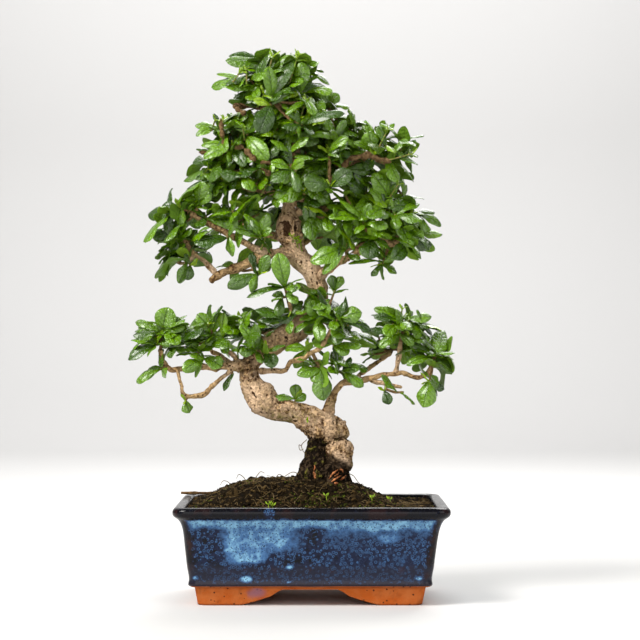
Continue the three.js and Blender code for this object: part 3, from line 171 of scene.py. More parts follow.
# Each shoot is its tip, the number of leaves that only the rule places, and the leaves whose tips are known:
# x, y, z of the leaf's tip, its width, and how far its face turns to the front, from 0 to 1.
SPRAYS: dict[str, list[list]] = {
    "crown_apex": [
        [
            [-10, 0, 393], 1, [-16, -3, 405, 6, 0.3], [-4, -2, 405, 6, 0.3], [9, 2, 391, 6, 0.2],
            [13, 4, 382, 8, 0.3]
        ],
        [[-9, -14, 373], 2, [-7, -20, 396, 13, 0.9]], [[-6, 14, 384], 4]
    ],
    "crown_top_left": [
        [
            [-30, 0, 396], 1, [-34, -2, 406, 4, 0.3], [-24, 2, 405, 5, 0.3], [-64, -12, 398, 13, 0.85],
            [-62, -6, 402, 8, 0.5]
        ],
        [[-43, -10, 377], 1, [-69, -15, 381, 13, 0.85], [-71, -4, 389, 7, 0.3], [-31, -20, 402, 9, 0.6]],
        [[-44, 12, 374], 3]
    ],
    "crown_front_top": [
        [[-29, -26, 369], 1, [-12, -36, 371, 6, 0.4], [-32, -32, 391, 11, 0.6], [-13, -20, 398, 12, 0.5]],
        [[-30, -34, 362], 0, [-38, -42, 341, 16, 1]],
        [[-4, -30, 366], 1, [-19, -40, 355, 7, 0.5], [2, -40, 354, 8, 0.5]],
        [[-7, -38, 347], 1, [24, -46, 355, 11, 0.5], [-22, -46, 345, 9, 0.6]]
    ],
    "crown_top_right": [
        [
            [13, -4, 365], 1, [20, -6, 374, 9, 0.7], [28, -2, 364, 8, 0.4], [-3, -12, 361, 9, 0.4],
            [3, 0, 382, 9, 0.5]
        ],
        [[27, 6, 350], 1, [40, 8, 354, 6, 0.2], [31, 2, 342, 8, 0.4], [38, 14, 345, 7, 0.2]],
        [[18, -24, 340], 1, [-1, -34, 340, 8, 0.4], [21, -36, 329, 13, 0.8]]
    ],
    "crown_right": [
        [[45, -8, 330], 1, [42, -16, 345, 14, 0.9], [40, -2, 355, 9, 0.4], [31, -18, 336, 9, 0.5]],
        [[54, 3, 340], 1, [52, 3, 354, 5, 0.2], [62, 5, 353, 5, 0.2], [70, 7, 345, 7, 0.3]],
        [
            [57, -4, 325], 1, [72, -8, 340, 8, 0.4], [79, -5, 321, 7, 0.3], [64, -16, 307, 11, 0.6],
            [76, 4, 309, 6, 0.3]
        ],
        [[68, 6, 329], 0, [78, 8, 341, 8, 0.5], [80, 12, 329, 7, 0.3]]
    ],
    "crown_right_low": [
        [[58, -4, 295], 1, [45, -16, 314, 16, 0.9], [63, -8, 306, 7, 0.5], [84, 2, 296, 8, 0.4]],
        [[78, -6, 284], 1, [96, -8, 275, 8, 0.4], [88, -8, 266, 9, 0.5], [92, 4, 286, 8, 0.3]],
        [[62, -16, 283], 1, [82, -22, 279, 11, 0.7], [80, -10, 292, 9, 0.4], [62, -26, 272, 9, 0.6]]
    ],
    "crown_right_back": [[[62, 22, 314], 4], [[46, 26, 338], 4], [[70, 14, 296], 3]],
    "mid_right_upper": [
        [
            [38, -24, 278], 1, [20, -34, 293, 9, 0.5], [12, -34, 280, 9, 0.5], [43, -30, 291, 8, 0.6],
            [56, -32, 273, 10, 0.5]
        ],
        [[24, -12, 300], 2]
    ],
    "trunk_upper_right": [
        [[-1, -12, 284], 0, [4, -18, 300, 11, 0.7], [1, -20, 264, 13, 0.9], [8, -16, 272, 8, 0.6]]
    ],
    "mid_right_front": [
        [
            [25, -16, 258], 0, [-1, -22, 248, 15, 0.9], [8, -24, 239, 9, 0.6], [18, -18, 274, 7, 0.6],
            [34, -16, 272, 8, 0.4]
        ],
        [[44, -18, 266], 0, [42, -28, 250, 15, 1], [58, -24, 257, 8, 0.6], [30, -20, 264, 8, 0.5]]
    ],
    "mid_right_end": [
        [
            [52, -10, 247], 1, [44, -12, 238, 7, 0.4], [63, -10, 240, 9, 0.5], [65, -14, 258, 11, 0.6],
            [27, -14, 247, 6, 0.2]
        ]
    ],
    "mid_right_tip": [
        [[66, -12, 275], 0, [73, -20, 259, 12, 0.7], [84, -14, 262, 8, 0.4]], [[60, 8, 272], 4]
    ],
    "crown_left": [
        [
            [-69, -4, 349], 1, [-87, -6, 350, 8, 0.5], [-86, -10, 342, 8, 0.5], [-51, -8, 347, 7, 0.5],
            [-73, -2, 360, 5, 0.3]
        ],
        [[-59, -14, 333], 1, [-80, -18, 325, 11, 0.6], [-82, -12, 335, 8, 0.5], [-49, -26, 318, 9, 0.7]],
        [[-56, 14, 344], 3]
    ],
    "crown_left_low": [
        [[-67, -7, 310], 1, [-80, -12, 313, 9, 0.6], [-89, -2, 311, 8, 0.3], [-93, -6, 303, 5, 0.3]],
        [[-50, -22, 312], 1, [-67, -30, 312, 11, 0.7], [-44, -32, 300, 10, 0.8]], [[-62, 16, 308], 3]
    ],
    "mid_left_high": [
        [[-84, -14, 291], 1, [-81, -21, 308, 13, 1], [-93, -12, 297, 10, 0.6], [-74, -20, 300, 9, 0.7]],
        [[-97, -15, 288], 0, [-111, -12, 290, 8, 0.5], [-111, -14, 278, 10, 0.8], [-98, -18, 275, 8, 0.6]],
        [[-86, 8, 293], 3]
    ],
    "mid_left_end": [
        [[-100, -9, 266], 1, [-120, -11, 271, 13, 0.7], [-109, -13, 279, 10, 0.7], [-93, -15, 278, 8, 0.5]],
        [[-106, -9, 254], 0, [-114, -7, 247, 4, 0.2], [-93, -14, 262, 10, 0.6]],
        [[-90, -12, 246], 0, [-92, -14, 235, 9, 0.8]], [[-96, 8, 262], 3]
    ],
    "mid_left_upper": [
        [[-55, -8, 281], 0, [-75, -10, 288, 12, 0.6], [-67, -4, 292, 11, 0.5], [-72, -14, 279, 9, 0.5]],
        [[-63, -18, 266], 0, [-87, -26, 262, 14, 0.8]],
        [
            [-37, -14, 266], 1, [-50, -18, 284, 9, 0.6], [-33, -16, 285, 9, 0.6], [-57, -20, 273, 9, 0.6],
            [-29, -22, 272, 7, 0.7]
        ]
    ],
    "mid_left_low": [
        [[-39, -14, 239], 1, [-62, -20, 229, 11, 0.8], [-31, -22, 253, 9, 0.7]], [[-60, 8, 246], 3]
    ],
    "trunk_front": [
        [
            [-20, -14, 230], 0, [-48, -18, 222, 10, 0.5], [-25, -20, 255, 14, 1], [-6, -14, 236, 6, 0.3],
            [-8, -22, 229, 9, 0.7]
        ],
        [[-22, -14, 222], 0, [-25, -20, 208, 8, 0.7]]
    ],
    "lower_middle_left": [[[-18, -12, 206], 0, [-42, -18, 213, 12, 0.6], [-40, -15, 205, 8, 0.5]]],
    "elbow_front": [
        [[-41, -19, 184], 1, [-53, -24, 202, 9, 0.6], [-42, -26, 203, 8, 0.6], [-53, -24, 181, 9, 0.6]],
        [[-34, -20, 181], 0, [-19, -26, 187, 8, 0.4], [-27, -28, 171, 11, 0.7]]
    ],
    "lower_middle": [
        [
            [6, -10, 206], 1, [-13, -18, 196, 8, 0.4], [-3, -16, 219, 12, 0.8], [11, -16, 219, 12, 0.8],
            [25, -10, 216, 8, 0.4]
        ],
        [[17, -5, 228], 0, [14, -8, 239, 8, 0.6], [23, -6, 238, 8, 0.6]]
    ],
    "lower_middle_right": [
        [[19, -19, 206], 1, [24, -22, 219, 7, 0.6], [37, -22, 211, 13, 0.8], [43, -18, 197, 9, 0.4]],
        [[16, -13, 186], 0, [27, -20, 180, 8, 0.5], [37, -18, 186, 9, 0.6], [0, -10, 191, 9, 0.6]]
    ],
    "lower_middle_front": [[[-3, -15, 184], -1, [-20, -12, 184, 10, 0.6], [-13, -9, 170, 9, 0.7]]],
    "lower_hanging": [
        [[8, -14, 169], 1, [-11, -20, 165, 10, 0.6], [0, -20, 160, 11, 0.8], [9, -22, 146, 15, 1]],
        [[23, -11, 167], 1, [38, -16, 156, 9, 0.6], [29, -13, 178, 8, 0.5], [36, -14, 170, 8, 0.5]]
    ],
    "lower_right_hanging": [[[54, -12, 153], -3, [57, -14, 143, 8, 0.9]], [[68, -15, 152], 0]],
    "lower_right_top": [
        [
            [67, -7, 205], 1, [46, -8, 214, 9, 0.5], [46, -12, 207, 8, 0.5], [89, -9, 208, 10, 0.5],
            [96, -7, 197, 10, 0.6]
        ],
        [[64, -10, 195], 1, [42, -12, 199, 9, 0.5], [85, -14, 189, 8, 0.5], [50, -16, 185, 9, 0.6]],
        [[72, 14, 200], 4]
    ],
    "lower_right_end": [
        [
            [91, -11, 179], 1, [105, -14, 167, 10, 0.6], [104, -6, 181, 6, 0.3], [71, -15, 189, 9, 0.4],
            [70, -16, 172, 9, 0.5]
        ],
        [[87, -12, 160], 0, [98, -13, 154, 9, 0.6], [93, -8, 149, 5, 0.3], [82, -18, 141, 15, 1]],
        [[88, 10, 176], 4]
    ],
    "lower_left_tip": [
        [
            [-111, -13, 196], 1, [-132, -17, 194, 11, 0.6], [-131, -8, 204, 8, 0.5], [-106, -15, 215, 16, 1],
            [-93, -19, 201, 9, 0.5]
        ],
        [[-115, -17, 187], 1, [-136, -18, 191, 9, 0.5], [-135, -22, 176, 11, 0.7], [-99, -24, 190, 9, 0.5]],
        [[-112, 8, 190], 4]
    ],
    "lower_left_low": [[[-112, -19, 169], 1, [-129, -20, 159, 9, 0.5]]],
    "lower_left_middle": [
        [[-84, -12, 183], 0, [-101, -18, 184, 9, 0.5], [-90, -14, 196, 9, 0.5], [-70, -14, 187, 9, 0.5]],
        [[-79, -17, 177], 0, [-90, -24, 180, 9, 0.6], [-66, -22, 171, 12, 0.7], [-86, -18, 163, 5, 0.3]]
    ],
    "lower_left_upper": [
        [[-74, -9, 196], 0, [-85, -13, 210, 11, 0.7], [-68, -11, 212, 10, 0.7], [-86, -14, 197, 11, 0.7]],
        [[-54, -4, 204], 1, [-72, -8, 202, 9, 0.4], [-70, -12, 195, 9, 0.5]]
    ],
    "lower_left_hanging": [[[-93, -19, 146], -3, [-90, -21, 137, 9, 0.9]]],
    "elbow_leaf": [[[-58, -12, 166], -3, [-65, -15, 153, 6, 0.5]]],
    "trunk_sprout": [
        [[-12, -6, 147], -3, [-28, -9, 148, 7, 0.5], [-12, -7, 158, 9, 1], [-4, -7, 150, 7, 0.9]]
    ],
    "crown_middle_front": [
        [[-16, -34, 328], 1, [-2, -42, 338, 9, 0.7], [-30, -42, 336, 9, 0.6]],
        [[-15, -36, 315], 0, [-30, -44, 306, 11, 0.8], [-30, -40, 320, 8, 0.6], [-9, -42, 298, 8, 0.8]]
    ],
    "crown_low_front": [[[-6, -22, 300], 0, [-26, -30, 292, 11, 0.7], [10, -30, 294, 9, 0.7]]],
    "crown_middle_right": [
        [[14, -29, 303], 1, [-6, -40, 306, 14, 0.8], [29, -36, 314, 13, 0.9]],
        [[13, -34, 328], 1, [19, -42, 328, 8, 0.6], [27, -42, 338, 9, 0.6]]
    ],
    "crown_back_upper": [[[-4, 38, 356], 4], [[-24, 30, 364], 3], [[16, 28, 352], 3]],
    "crown_back_middle": [[[-4, 60, 336], 4], [[16, 54, 324], 3], [[-24, 52, 340], 3]],
    "crown_back_left": [[[-52, 40, 324], 3], [[-44, 46, 304], 3], [[-64, 26, 332], 3]],
    "crown_back_right": [[[32, 38, 332], 3], [[40, 40, 312], 3], [[24, 44, 346], 3]],
    "mid_back_left": [[[-60, 56, 284], 3], [[-76, 40, 278], 3], [[-42, 62, 272], 3]],
    "mid_back": [[[2, 68, 276], 4], [[-18, 62, 284], 3], [[18, 64, 270], 3]],
    "mid_back_right": [[[52, 52, 266], 3], [[64, 36, 274], 3], [[40, 62, 276], 3]],
    "lower_back": [[[-28, 54, 196], 3], [[-12, 50, 200], 3], [[-44, 44, 198], 3]],
    "lower_back_left": [[[-84, 36, 190], 3], [[-98, 24, 190], 3], [[-68, 46, 186], 3]],
    "lower_back_right": [[[62, 48, 186], 3], [[76, 34, 186], 3], [[46, 50, 180], 3]]
}

# The leaf pads that a viewer tells apart, each with the sprays that make it up.
PADS: dict[str, tuple[str, ...]] = {
    "crown_top": ("crown_apex", "crown_top_left", "crown_front_top", "crown_top_right", "crown_back_upper"),
    "crown_right": (
        "crown_right", "crown_right_low", "crown_right_back", "crown_middle_right", "crown_back_right"
    ),
    "crown_left": (
        "crown_left", "crown_left_low", "crown_middle_front", "crown_low_front", "crown_back_left"
    ),
    "crown_back": ("crown_back_middle", "mid_back", "mid_back_left", "mid_back_right"),
    "middle_left": ("mid_left_high", "mid_left_end", "mid_left_upper", "mid_left_low"),
    "middle_right": (
        "mid_right_upper", "trunk_upper_right", "mid_right_front", "mid_right_end", "mid_right_tip"
    ),
    "middle_front": ("trunk_front", "lower_middle_left", "elbow_front", "lower_middle"),
    "lower_left": (
        "lower_left_tip", "lower_left_low", "lower_left_middle", "lower_left_upper", "lower_left_hanging",
        "elbow_leaf"
    ),
    "lower_right": (
        "lower_middle_right", "lower_middle_front", "lower_hanging", "lower_right_hanging", "lower_right_top",
        "lower_right_end", "trunk_sprout"
    ),
    "lower_back": ("lower_back", "lower_back_left", "lower_back_right")
}


def lattice_noise(points: Array, cell: float, seed: int) -> Array:
    """Smooth noise in space.

    Every corner of a cubic lattice holds a fixed random value from -1 to 1, and a point takes the mix of the
    eight corners round it, weighted by the cubic step 3t^2 - 2t^3 along each axis.

    Args:
        points: N by 3 places.
        cell: the lattice's step, in the same unit.
        seed: which noise.

    Returns:
        N values from -1 to 1.
    """
    scaled = points / cell
    corner = np.floor(scaled).astype(np.int64)
    part = scaled - corner
    part = part * part * (3 - 2 * part)
    total = np.zeros(len(points))
    for offset in itertools.product((0, 1), repeat=3):
        step = np.array(offset)
        mixed = np.bitwise_xor.reduce((corner + step) * SCRAMBLE, axis=1) ^ seed * SCRAMBLE_SEED
        mixed = (mixed ^ (mixed >> 13)) * SCRAMBLE_AGAIN & POSITIVE
        mixed = (mixed ^ (mixed >> 11)) * SCRAMBLE_LAST & POSITIVE
        weight = np.prod(np.where(step == 1, part, 1 - part), axis=1)
        total += weight * (mixed % KEPT / ((KEPT - 1) / 2) - 1)
    return total


def layered_noise(points: Array, cell: float, seed: int, layers: int = 3) -> Array:
    """Sum of lattice noises, each with half the step and half the strength of the one before.

    Args:
        points: N by 3 places.
        cell: the first layer's step.
        seed: which noise.
        layers: how many are summed.

    Returns:
        N values, mostly from -1 to 1.
    """
    return sum(lattice_noise(points, cell / 2**k, seed + 31 * k) / 2**k for k in range(layers))


def step_up(values: Array, low: float, high: float) -> Array:
    """The cubic step from 0 at low to 1 at high.

    Args:
        values: any numbers.
        low: where the step starts.
        high: where it ends, which may lie below low for a step down.

    Returns:
        Numbers from 0 to 1.
    """
    share = np.clip((values - low) / (high - low), 0, 1)
    return share * share * (3 - 2 * share)


def unit(vectors: Array) -> Array:
    """The vectors, each divided by its own length."""
    return vectors / np.maximum(np.linalg.norm(vectors, axis=-1, keepdims=True), 1e-9)


def square(vector: Array, way: Array) -> Array:
    """The unit vector across a unit direction that comes nearest to the given one."""
    return unit(vector - way * (vector @ way))


def oval(x: Array, z: Array, middle: tuple[float, float], half: tuple[float, float], power: float) -> Array:
    """1 in the middle of an oval, falling to 0 past its edge, the more steeply the higher the power."""
    away = ((x - middle[0]) / half[0]) ** 2 + ((z - middle[1]) / half[1]) ** 2
    return np.exp(-(away**power))


def chords(line: Array) -> Array:
    """The distances from each point of a line to the next."""
    return np.linalg.norm(np.diff(line[:, :3], axis=0), axis=1)


def wander(line: Array, cell: float, seed: int) -> Array:
    """How far each point of a line strays along the three axes, from -1 to 1."""
    return np.stack([lattice_noise(line[:, :3], cell, seed + k) for k in (0, 10, 20)], axis=1)


def smooth_line(controls: Array, count: int) -> Array:
    """A smooth line through control points.

    Between two points it is the cubic whose slopes at both ends are the slopes of the neighbouring chords,
    with the distance walked along the chords as its parameter.

    Args:
        controls: K by D numbers, x, y and z first.
        count: how many points the line gets.

    Returns:
        count by D numbers, evenly spread along the chords.
    """
    controls = np.asarray(controls, float)
    knots = np.concatenate([[0], np.cumsum(chords(controls))])
    slopes = np.gradient(controls, knots, axis=0)
    walked = np.linspace(0, knots[-1], count)
    k = np.clip(np.searchsorted(knots, walked, side="right") - 1, 0, len(knots) - 2)
    span = (knots[k + 1] - knots[k])[:, None]
    t = (walked - knots[k])[:, None] / span
    line = (1 + 2 * t) * (1 - t) ** 2 * controls[k] + t * t * (3 - 2 * t) * controls[k + 1]
    return line + span * (t * (1 - t) ** 2 * slopes[k] - t * t * (1 - t) * slopes[k + 1])


@dataclass
class Surface:
    """Points in millimetres, the faces between them, and what the materials read.

    Attributes:
        points: N by 3 places.
        faces: groups of faces, each M by k point numbers.
        finish: for each group, the number of the material that its faces wear.
        values: numbers per point, by attribute name.
        uv: N by 2 coordinates, if the finish follows the surface.
        crease: a whole number per point. An edge between two points with the same number above 0 stays sharp.
    """

    points: Array
    faces: list[NDArray[np.int64]]
    finish: list[int]
    values: dict[str, Array] = field(default_factory=dict)
    uv: Array | None = None
    crease: Array | None = None

    def normals(self) -> Array:
        """Unit normals at the points: the mean of the first group's face normals, weighted by area.

        Returns:
            N by 3 numbers.
        """
        quads = self.faces[0]
        first = self.points[quads[:, 2]] - self.points[quads[:, 0]]
        second = self.points[quads[:, 3]] - self.points[quads[:, 1]]
        across = np.cross(first, second)
        total = np.zeros_like(self.points)
        for k in range(quads.shape[1]):
            np.add.at(total, quads[:, k], across)
        return unit(total)


def joined(parts: list[Surface]) -> Surface:
    """One surface from many without coordinates, the point numbers of each moved past those before it.

    Args:
        parts: the surfaces, whose values have the same names.

    Returns:
        The surface.
    """
    starts = np.cumsum([0] + [len(part.points) for part in parts[:-1]])
    return Surface(
        points=np.concatenate([part.points for part in parts]),
        faces=[group + start for part, start in zip(parts, starts) for group in part.faces],
        finish=[number for part in parts for number in part.finish],
        values={name: np.concatenate([part.values[name] for part in parts]) for name in parts[0].values}
    )


def ring_faces(rings: int, sides: int) -> NDArray[np.int64]:
    """Quads between rings of points, each ring numbered on from the one before and closed on itself.

    Args:
        rings: how many rings there are.
        sides: how many points each has.

    Returns:
        M by 4 point numbers.
    """
    ring, side = np.meshgrid(np.arange(rings - 1), np.arange(sides), indexing="ij")
    ahead = (side + 1) % sides
    low, high = ring * sides, (ring + 1) * sides
    return np.stack([low + side, low + ahead, high + ahead, high + side], axis=-1).reshape(-1, 4)


def end_faces(rings: int, sides: int) -> NDArray[np.int64]:
    """The two faces that close the first and the last ring."""
    ring = np.arange(sides)
    return np.array([ring[::-1], (rings - 1) * sides + ring])


def repeated(groups: list[NDArray[np.int64]], count: int, points: int) -> list[NDArray[np.int64]]:
    """The faces of a form for many copies of it, each with its own run of points."""
    starts = (np.arange(count) * points)[:, None, None]
    return [(starts + group[None]).reshape(-1, group.shape[1]) for group in groups]


def best_reference(line: Array) -> Array:
    """The axis that a line runs along least, as the direction for its seam."""
    return np.eye(3)[np.argmin(np.abs(np.diff(line[:, :3], axis=0)).sum(axis=0))]


def tube(line: Array, sides: int, reference: Triple | None = None) -> Surface:
    """A round stem along a line.

    A point is the line's point plus its radius times (cos a, sin a) in the plane across the line, where the
    first direction is the reference with its part along the line taken out.

    Args:
        line: S by 4 numbers: x, y, z and the radius.
        sides: points round the stem.
        reference: the direction that the stem's seam turns to, or None for the best one.

    Returns:
        A closed surface, with "along" from 0 to 1 and "angle" from 0 to 1 as values.
    """
    centre, radius = line[:, :3], line[:, 3]
    tangent = unit(np.gradient(centre, axis=0))
    aim = best_reference(line) if reference is None else np.array(reference, float)
    sideways = unit(aim - tangent * (tangent @ aim)[:, None])
    across = np.cross(tangent, sideways)
    angle = np.linspace(0, 2 * np.pi, sides, endpoint=False)
    spread = np.cos(angle)[None, :, None] * sideways[:, None] + np.sin(angle)[None, :, None] * across[:, None]
    points = centre[:, None] + radius[:, None, None] * spread
    count = len(line)
    faces = [ring_faces(count, sides), end_faces(count, sides)]
    along, around = np.repeat(np.linspace(0, 1, count), sides), np.tile(angle / (2 * np.pi), count)
    return Surface(points.reshape(-1, 3), faces, [0, 0], {"along": along, "angle": around})


def rounded_end(line: Array) -> Array:
    """A stem's line with its far end closed by a half ball instead of a flat cut.

    Args:
        line: x, y, z and the radius at each of its points.

    Returns:
        The line with the points of the half ball after it.
    """
    share = np.sin(np.linspace(0.3, 1.5, 5))[:, None]
    tip, radius = line[-1], line[-1, 3]
    way = unit(line[-1, :3] - line[-2, :3])
    ball = np.column_stack([tip[:3] + way * radius * share, radius * np.sqrt(1 - share**2)])
    return np.concatenate([line, ball])


def outward_from(line: Array, stem: Surface) -> Array:
    """The unit directions from a tube's centreline to its points."""
    return unit(stem.points - np.repeat(line[:, :3], len(stem.points) // len(line), axis=0))


def write_piece(
    name: str, surface: Surface, finishes: list[bpy.types.Material], replaced: tuple[str, ...] = ()
) -> None:
    """Puts a surface into a mesh object of the row frame, dressed and riding on the plant's body.

    Args:
        name: the piece's name.
        surface: its points and faces.
        finishes: its materials, in the order of their numbers.
        replaced: the nodes that it stands for.
    """
    mesh = bpy.data.meshes.new(name)
    sizes = np.concatenate([np.full(len(group), group.shape[1]) for group in surface.faces])
    loops = np.concatenate([group.ravel() for group in surface.faces])
    worn = np.concatenate([np.full(len(g), n) for g, n in zip(surface.faces, surface.finish)])
    mesh.vertices.add(len(surface.points))
    mesh.vertices.foreach_set("co", (surface.points * MILLIMETRE + POT_MIDDLE).ravel())
    mesh.loops.add(len(loops))
    mesh.loops.foreach_set("vertex_index", loops)
    mesh.polygons.add(len(sizes))
    mesh.polygons.foreach_set("loop_start", np.concatenate([[0], np.cumsum(sizes)[:-1]]))
    mesh.polygons.foreach_set("material_index", worn.astype(np.int32))
    mesh.polygons.foreach_set("use_smooth", np.ones(len(sizes), bool))
    if surface.uv is not None:
        layer = mesh.uv_layers.new(name="blade")
        layer.data.foreach_set("uv", surface.uv[loops].astype(np.float32).ravel())
    mesh.update(calc_edges=True)
    if surface.crease is not None:
        ends = np.empty(len(mesh.edges) * 2, np.int32)
        mesh.edges.foreach_get("vertices", ends)
        first, second = surface.crease[ends[::2]], surface.crease[ends[1::2]]
        sharp = mesh.attributes.new("sharp_edge", "BOOLEAN", "EDGE")
        sharp.data.foreach_set("value", (first > 0) & (first == second))
    for key, numbers in surface.values.items():
        attribute = mesh.attributes.new(key, "FLOAT", "POINT")
        attribute.data.foreach_set("value", np.asarray(numbers, np.float32))
    for finish in finishes:
        mesh.materials.append(finish)
    piece = bpy.data.objects.new(name, mesh)
    bpy.context.scene.collection.objects.link(piece)
    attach(piece, BODY)
    if replaced:
        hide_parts(*replaced)
    triangles = int((sizes - 2).sum())
    log.info("%s: %d points, %d triangles", name, len(surface.points), triangles)


# Finishes


class Tint(Enum):
    """Colours as linear red, green and blue."""

    LEAF_YOUNG = (0.40, 0.60, 0.0)
    LEAF_GROWN = (0.118, 0.25, 0.0)
    LEAF_DEEP = (0.028, 0.074, 0.0)
    LEAF_RIB = (0.016, 0.045, 0.0)
    UNDER_YOUNG = (0.36, 0.52, 0.02)
    UNDER_GROWN = (0.17, 0.32, 0.006)
    UNDER_DEEP = (0.09, 0.19, 0.006)
    BARK_PALE = (0.68, 0.48, 0.31)
    BARK_TAN = (0.44, 0.28, 0.135)
    BARK_CRUST = (0.105, 0.052, 0.022)
    BARK_PIT_AND_CRACK_SHADE = (0.06, 0.030, 0.015)
    BRANCH_PALE = (0.58, 0.385, 0.195)
    BRANCH_TAN = (0.34, 0.205, 0.086)
    BRANCH_CRUST = (0.095, 0.050, 0.020)
    MOSS = (0.14, 0.13, 0.02)
    WET_WOOD_AND_CRACK_SHADE = (0.007, 0.004, 0.002)
    TWIG = (0.165, 0.098, 0.041)
    TWIG_PALE = (0.36, 0.235, 0.11)
    SHOOT = (0.20, 0.32, 0.04)
    SOIL = (0.005, 0.004, 0.0025)
    SOIL_BROWN = (0.016, 0.0098, 0.004)
    SOIL_CRUMB = (0.105, 0.066, 0.024)
    ROOT_HAIR = (0.20, 0.145, 0.075)
    MOSS_GREEN = (0.018, 0.026, 0.003)
    MOSS_LIGHT = (0.13, 0.17, 0.018)
    LIME = (0.35, 0.50, 0.03)
    BLACK_GLAZE = (0.002, 0.002, 0.004)
    NAVY_GLAZE = (0.006, 0.0105, 0.033)
    BLUE_GLAZE = (0.045, 0.12, 0.27)
    SKY_GLAZE = (0.20, 0.42, 0.60)
    SLATE_GLAZE = (0.017, 0.018, 0.032)
    RUST_GLAZE = (0.030, 0.010, 0.008)
    CLAY = (0.43, 0.09, 0.0135)
    CLAY_PALE = (0.49, 0.14, 0.036)
    CLAY_DARK = (0.08, 0.022, 0.010)
    BLOT = (0.24, 0.12, 0.17)
    DEAD = (0.085, 0.045, 0.022)
    CHIP = (0.62, 0.26, 0.10)
    CHIP_DARK = (0.30, 0.09, 0.035)
    PLASTIC = (0.02, 0.02, 0.02)
    FLOOR = (0.62, 0.615, 0.61)


class Graph:
    """The nodes of one material or node group, added one by one and wired as they are added."""

    def __init__(self, tree: bpy.types.NodeTree) -> None:
        """Starts on a node tree."""
        self.tree = tree

    def feed(self, node: bpy.types.Node, inputs: Inputs) -> None:
        """Joins sockets to a node's inputs, or sets a tint or a plain value there.

        Args:
            node: the node.
            inputs: by socket name or number, what goes in.
        """
        for key, value in inputs.items():
            if isinstance(value, bpy.types.NodeSocket):
                self.tree.links.new(value, node.inputs[key])
            else:
                node.inputs[key].default_value = (*value.value, 1) if isinstance(value, Tint) else value

    def add(self, kind: str, inputs: Inputs | None = None, **settings: object) -> bpy.types.Node:
        """Adds a node.

        Args:
            kind: Blender's name of the node type.
            inputs: by socket name or number, a socket to join to it, a tint or a plain value.
            **settings: the node's own settings.

        Returns:
            The node.
        """
        node = self.tree.nodes.new(kind)
        for name, value in settings.items():
            setattr(node, name, value)
        self.feed(node, inputs or {})
        return node

    def maths(self, rule: str, first: object, second: object = 0.0) -> bpy.types.NodeSocket:
        """One sum, product or other rule on two numbers."""
        return self.add("ShaderNodeMath", {0: first, 1: second}, operation=rule).outputs[0]

    def times(self, first: object, second: object) -> bpy.types.NodeSocket:
        """The product of two numbers."""
        return self.maths("MULTIPLY", first, second)

    def remap(
        self, value: object, low: object, high: object, start: float = 0.0, end: float = 1.0
    ) -> bpy.types.NodeSocket:
        """A number moved by a smooth step from the range low to high into start to end, and held there."""
        sockets = {"Value": value, "From Min": low, "From Max": high, "To Min": start, "To Max": end}
        return self.add("ShaderNodeMapRange", sockets, interpolation_type="SMOOTHSTEP").outputs["Result"]

    def mix(self, share: object, first: object, second: object) -> bpy.types.NodeSocket:
        """Two colours mixed by a share: the first at 0, the second at 1."""
        return self.add("ShaderNodeMix", {0: share, 6: first, 7: second}, data_type="RGBA").outputs[2]


def new_group(name: str, inputs: dict[str, float | None], output: str) -> tuple[Graph, list]:
    """An empty node group.

    Args:
        name: the group's name.
        inputs: socket names with their default numbers, or None for a place in space.
        output: the name of its one number.

    Returns:
        Its graph, and the sockets that give its inputs, in their order.
    """
    tree = bpy.data.node_groups.new(name, "ShaderNodeTree")
    for key, number in inputs.items():
        kind = "NodeSocketVector" if number is None else "NodeSocketFloat"
        socket = tree.interface.new_socket(key, in_out="INPUT", socket_type=kind)
        if number is not None:
            socket.default_value = number
    tree.interface.new_socket(output, in_out="OUTPUT", socket_type="NodeSocketFloat")
    graph = Graph(tree)
    return graph, graph.add("NodeGroupInput").outputs[: len(inputs)]


def speckle_group() -> bpy.types.NodeTree:
    """Scattered round spots, 1 inside and 0 outside, by the distance to the nearest of many random points.

    Returns:
        The node group.
    """
    graph, (place, scale, size, softness, share) = new_group(
        "speckle", {"Place": None, "Scale": 500.0, "Size": 0.3, "Softness": 0.1, "Share": 1.0}, "Spot"
    )
    cells = graph.add("ShaderNodeTexVoronoi", {"Vector": place, "Scale": scale}).outputs
    inside = graph.remap(cells["Distance"], size, graph.maths("SUBTRACT", size, softness))
    drawn = graph.add("ShaderNodeSeparateColor", {0: cells["Color"]}).outputs[0]
    graph.add("NodeGroupOutput", {"Spot": graph.times(inside, graph.maths("LESS_THAN", drawn, share))})
    return graph.tree


def mottle_group() -> bpy.types.NodeTree:
    """Soft patches: a layered noise, cut off below a level and above another.

    Returns:
        The node group.
    """
    graph, (place, scale, detail, low, high) = new_group(
        "mottle", {"Place": None, "Scale": 60.0, "Detail": 4.0, "Low": 0.4, "High": 0.6}, "Patch"
    )
    sockets = {"Vector": place, "Scale": scale, "Detail": detail, "Roughness": 0.6}
    noise = graph.add("ShaderNodeTexNoise", sockets).outputs["Fac"]
    graph.add("NodeGroupOutput", {"Patch": graph.remap(noise, low, high)})
    return graph.tree


@dataclass(frozen=True)
class Groups:
    """The shader groups that the finishes share."""

    speckle: bpy.types.NodeTree = field(default_factory=speckle_group)
    mottle: bpy.types.NodeTree = field(default_factory=mottle_group)


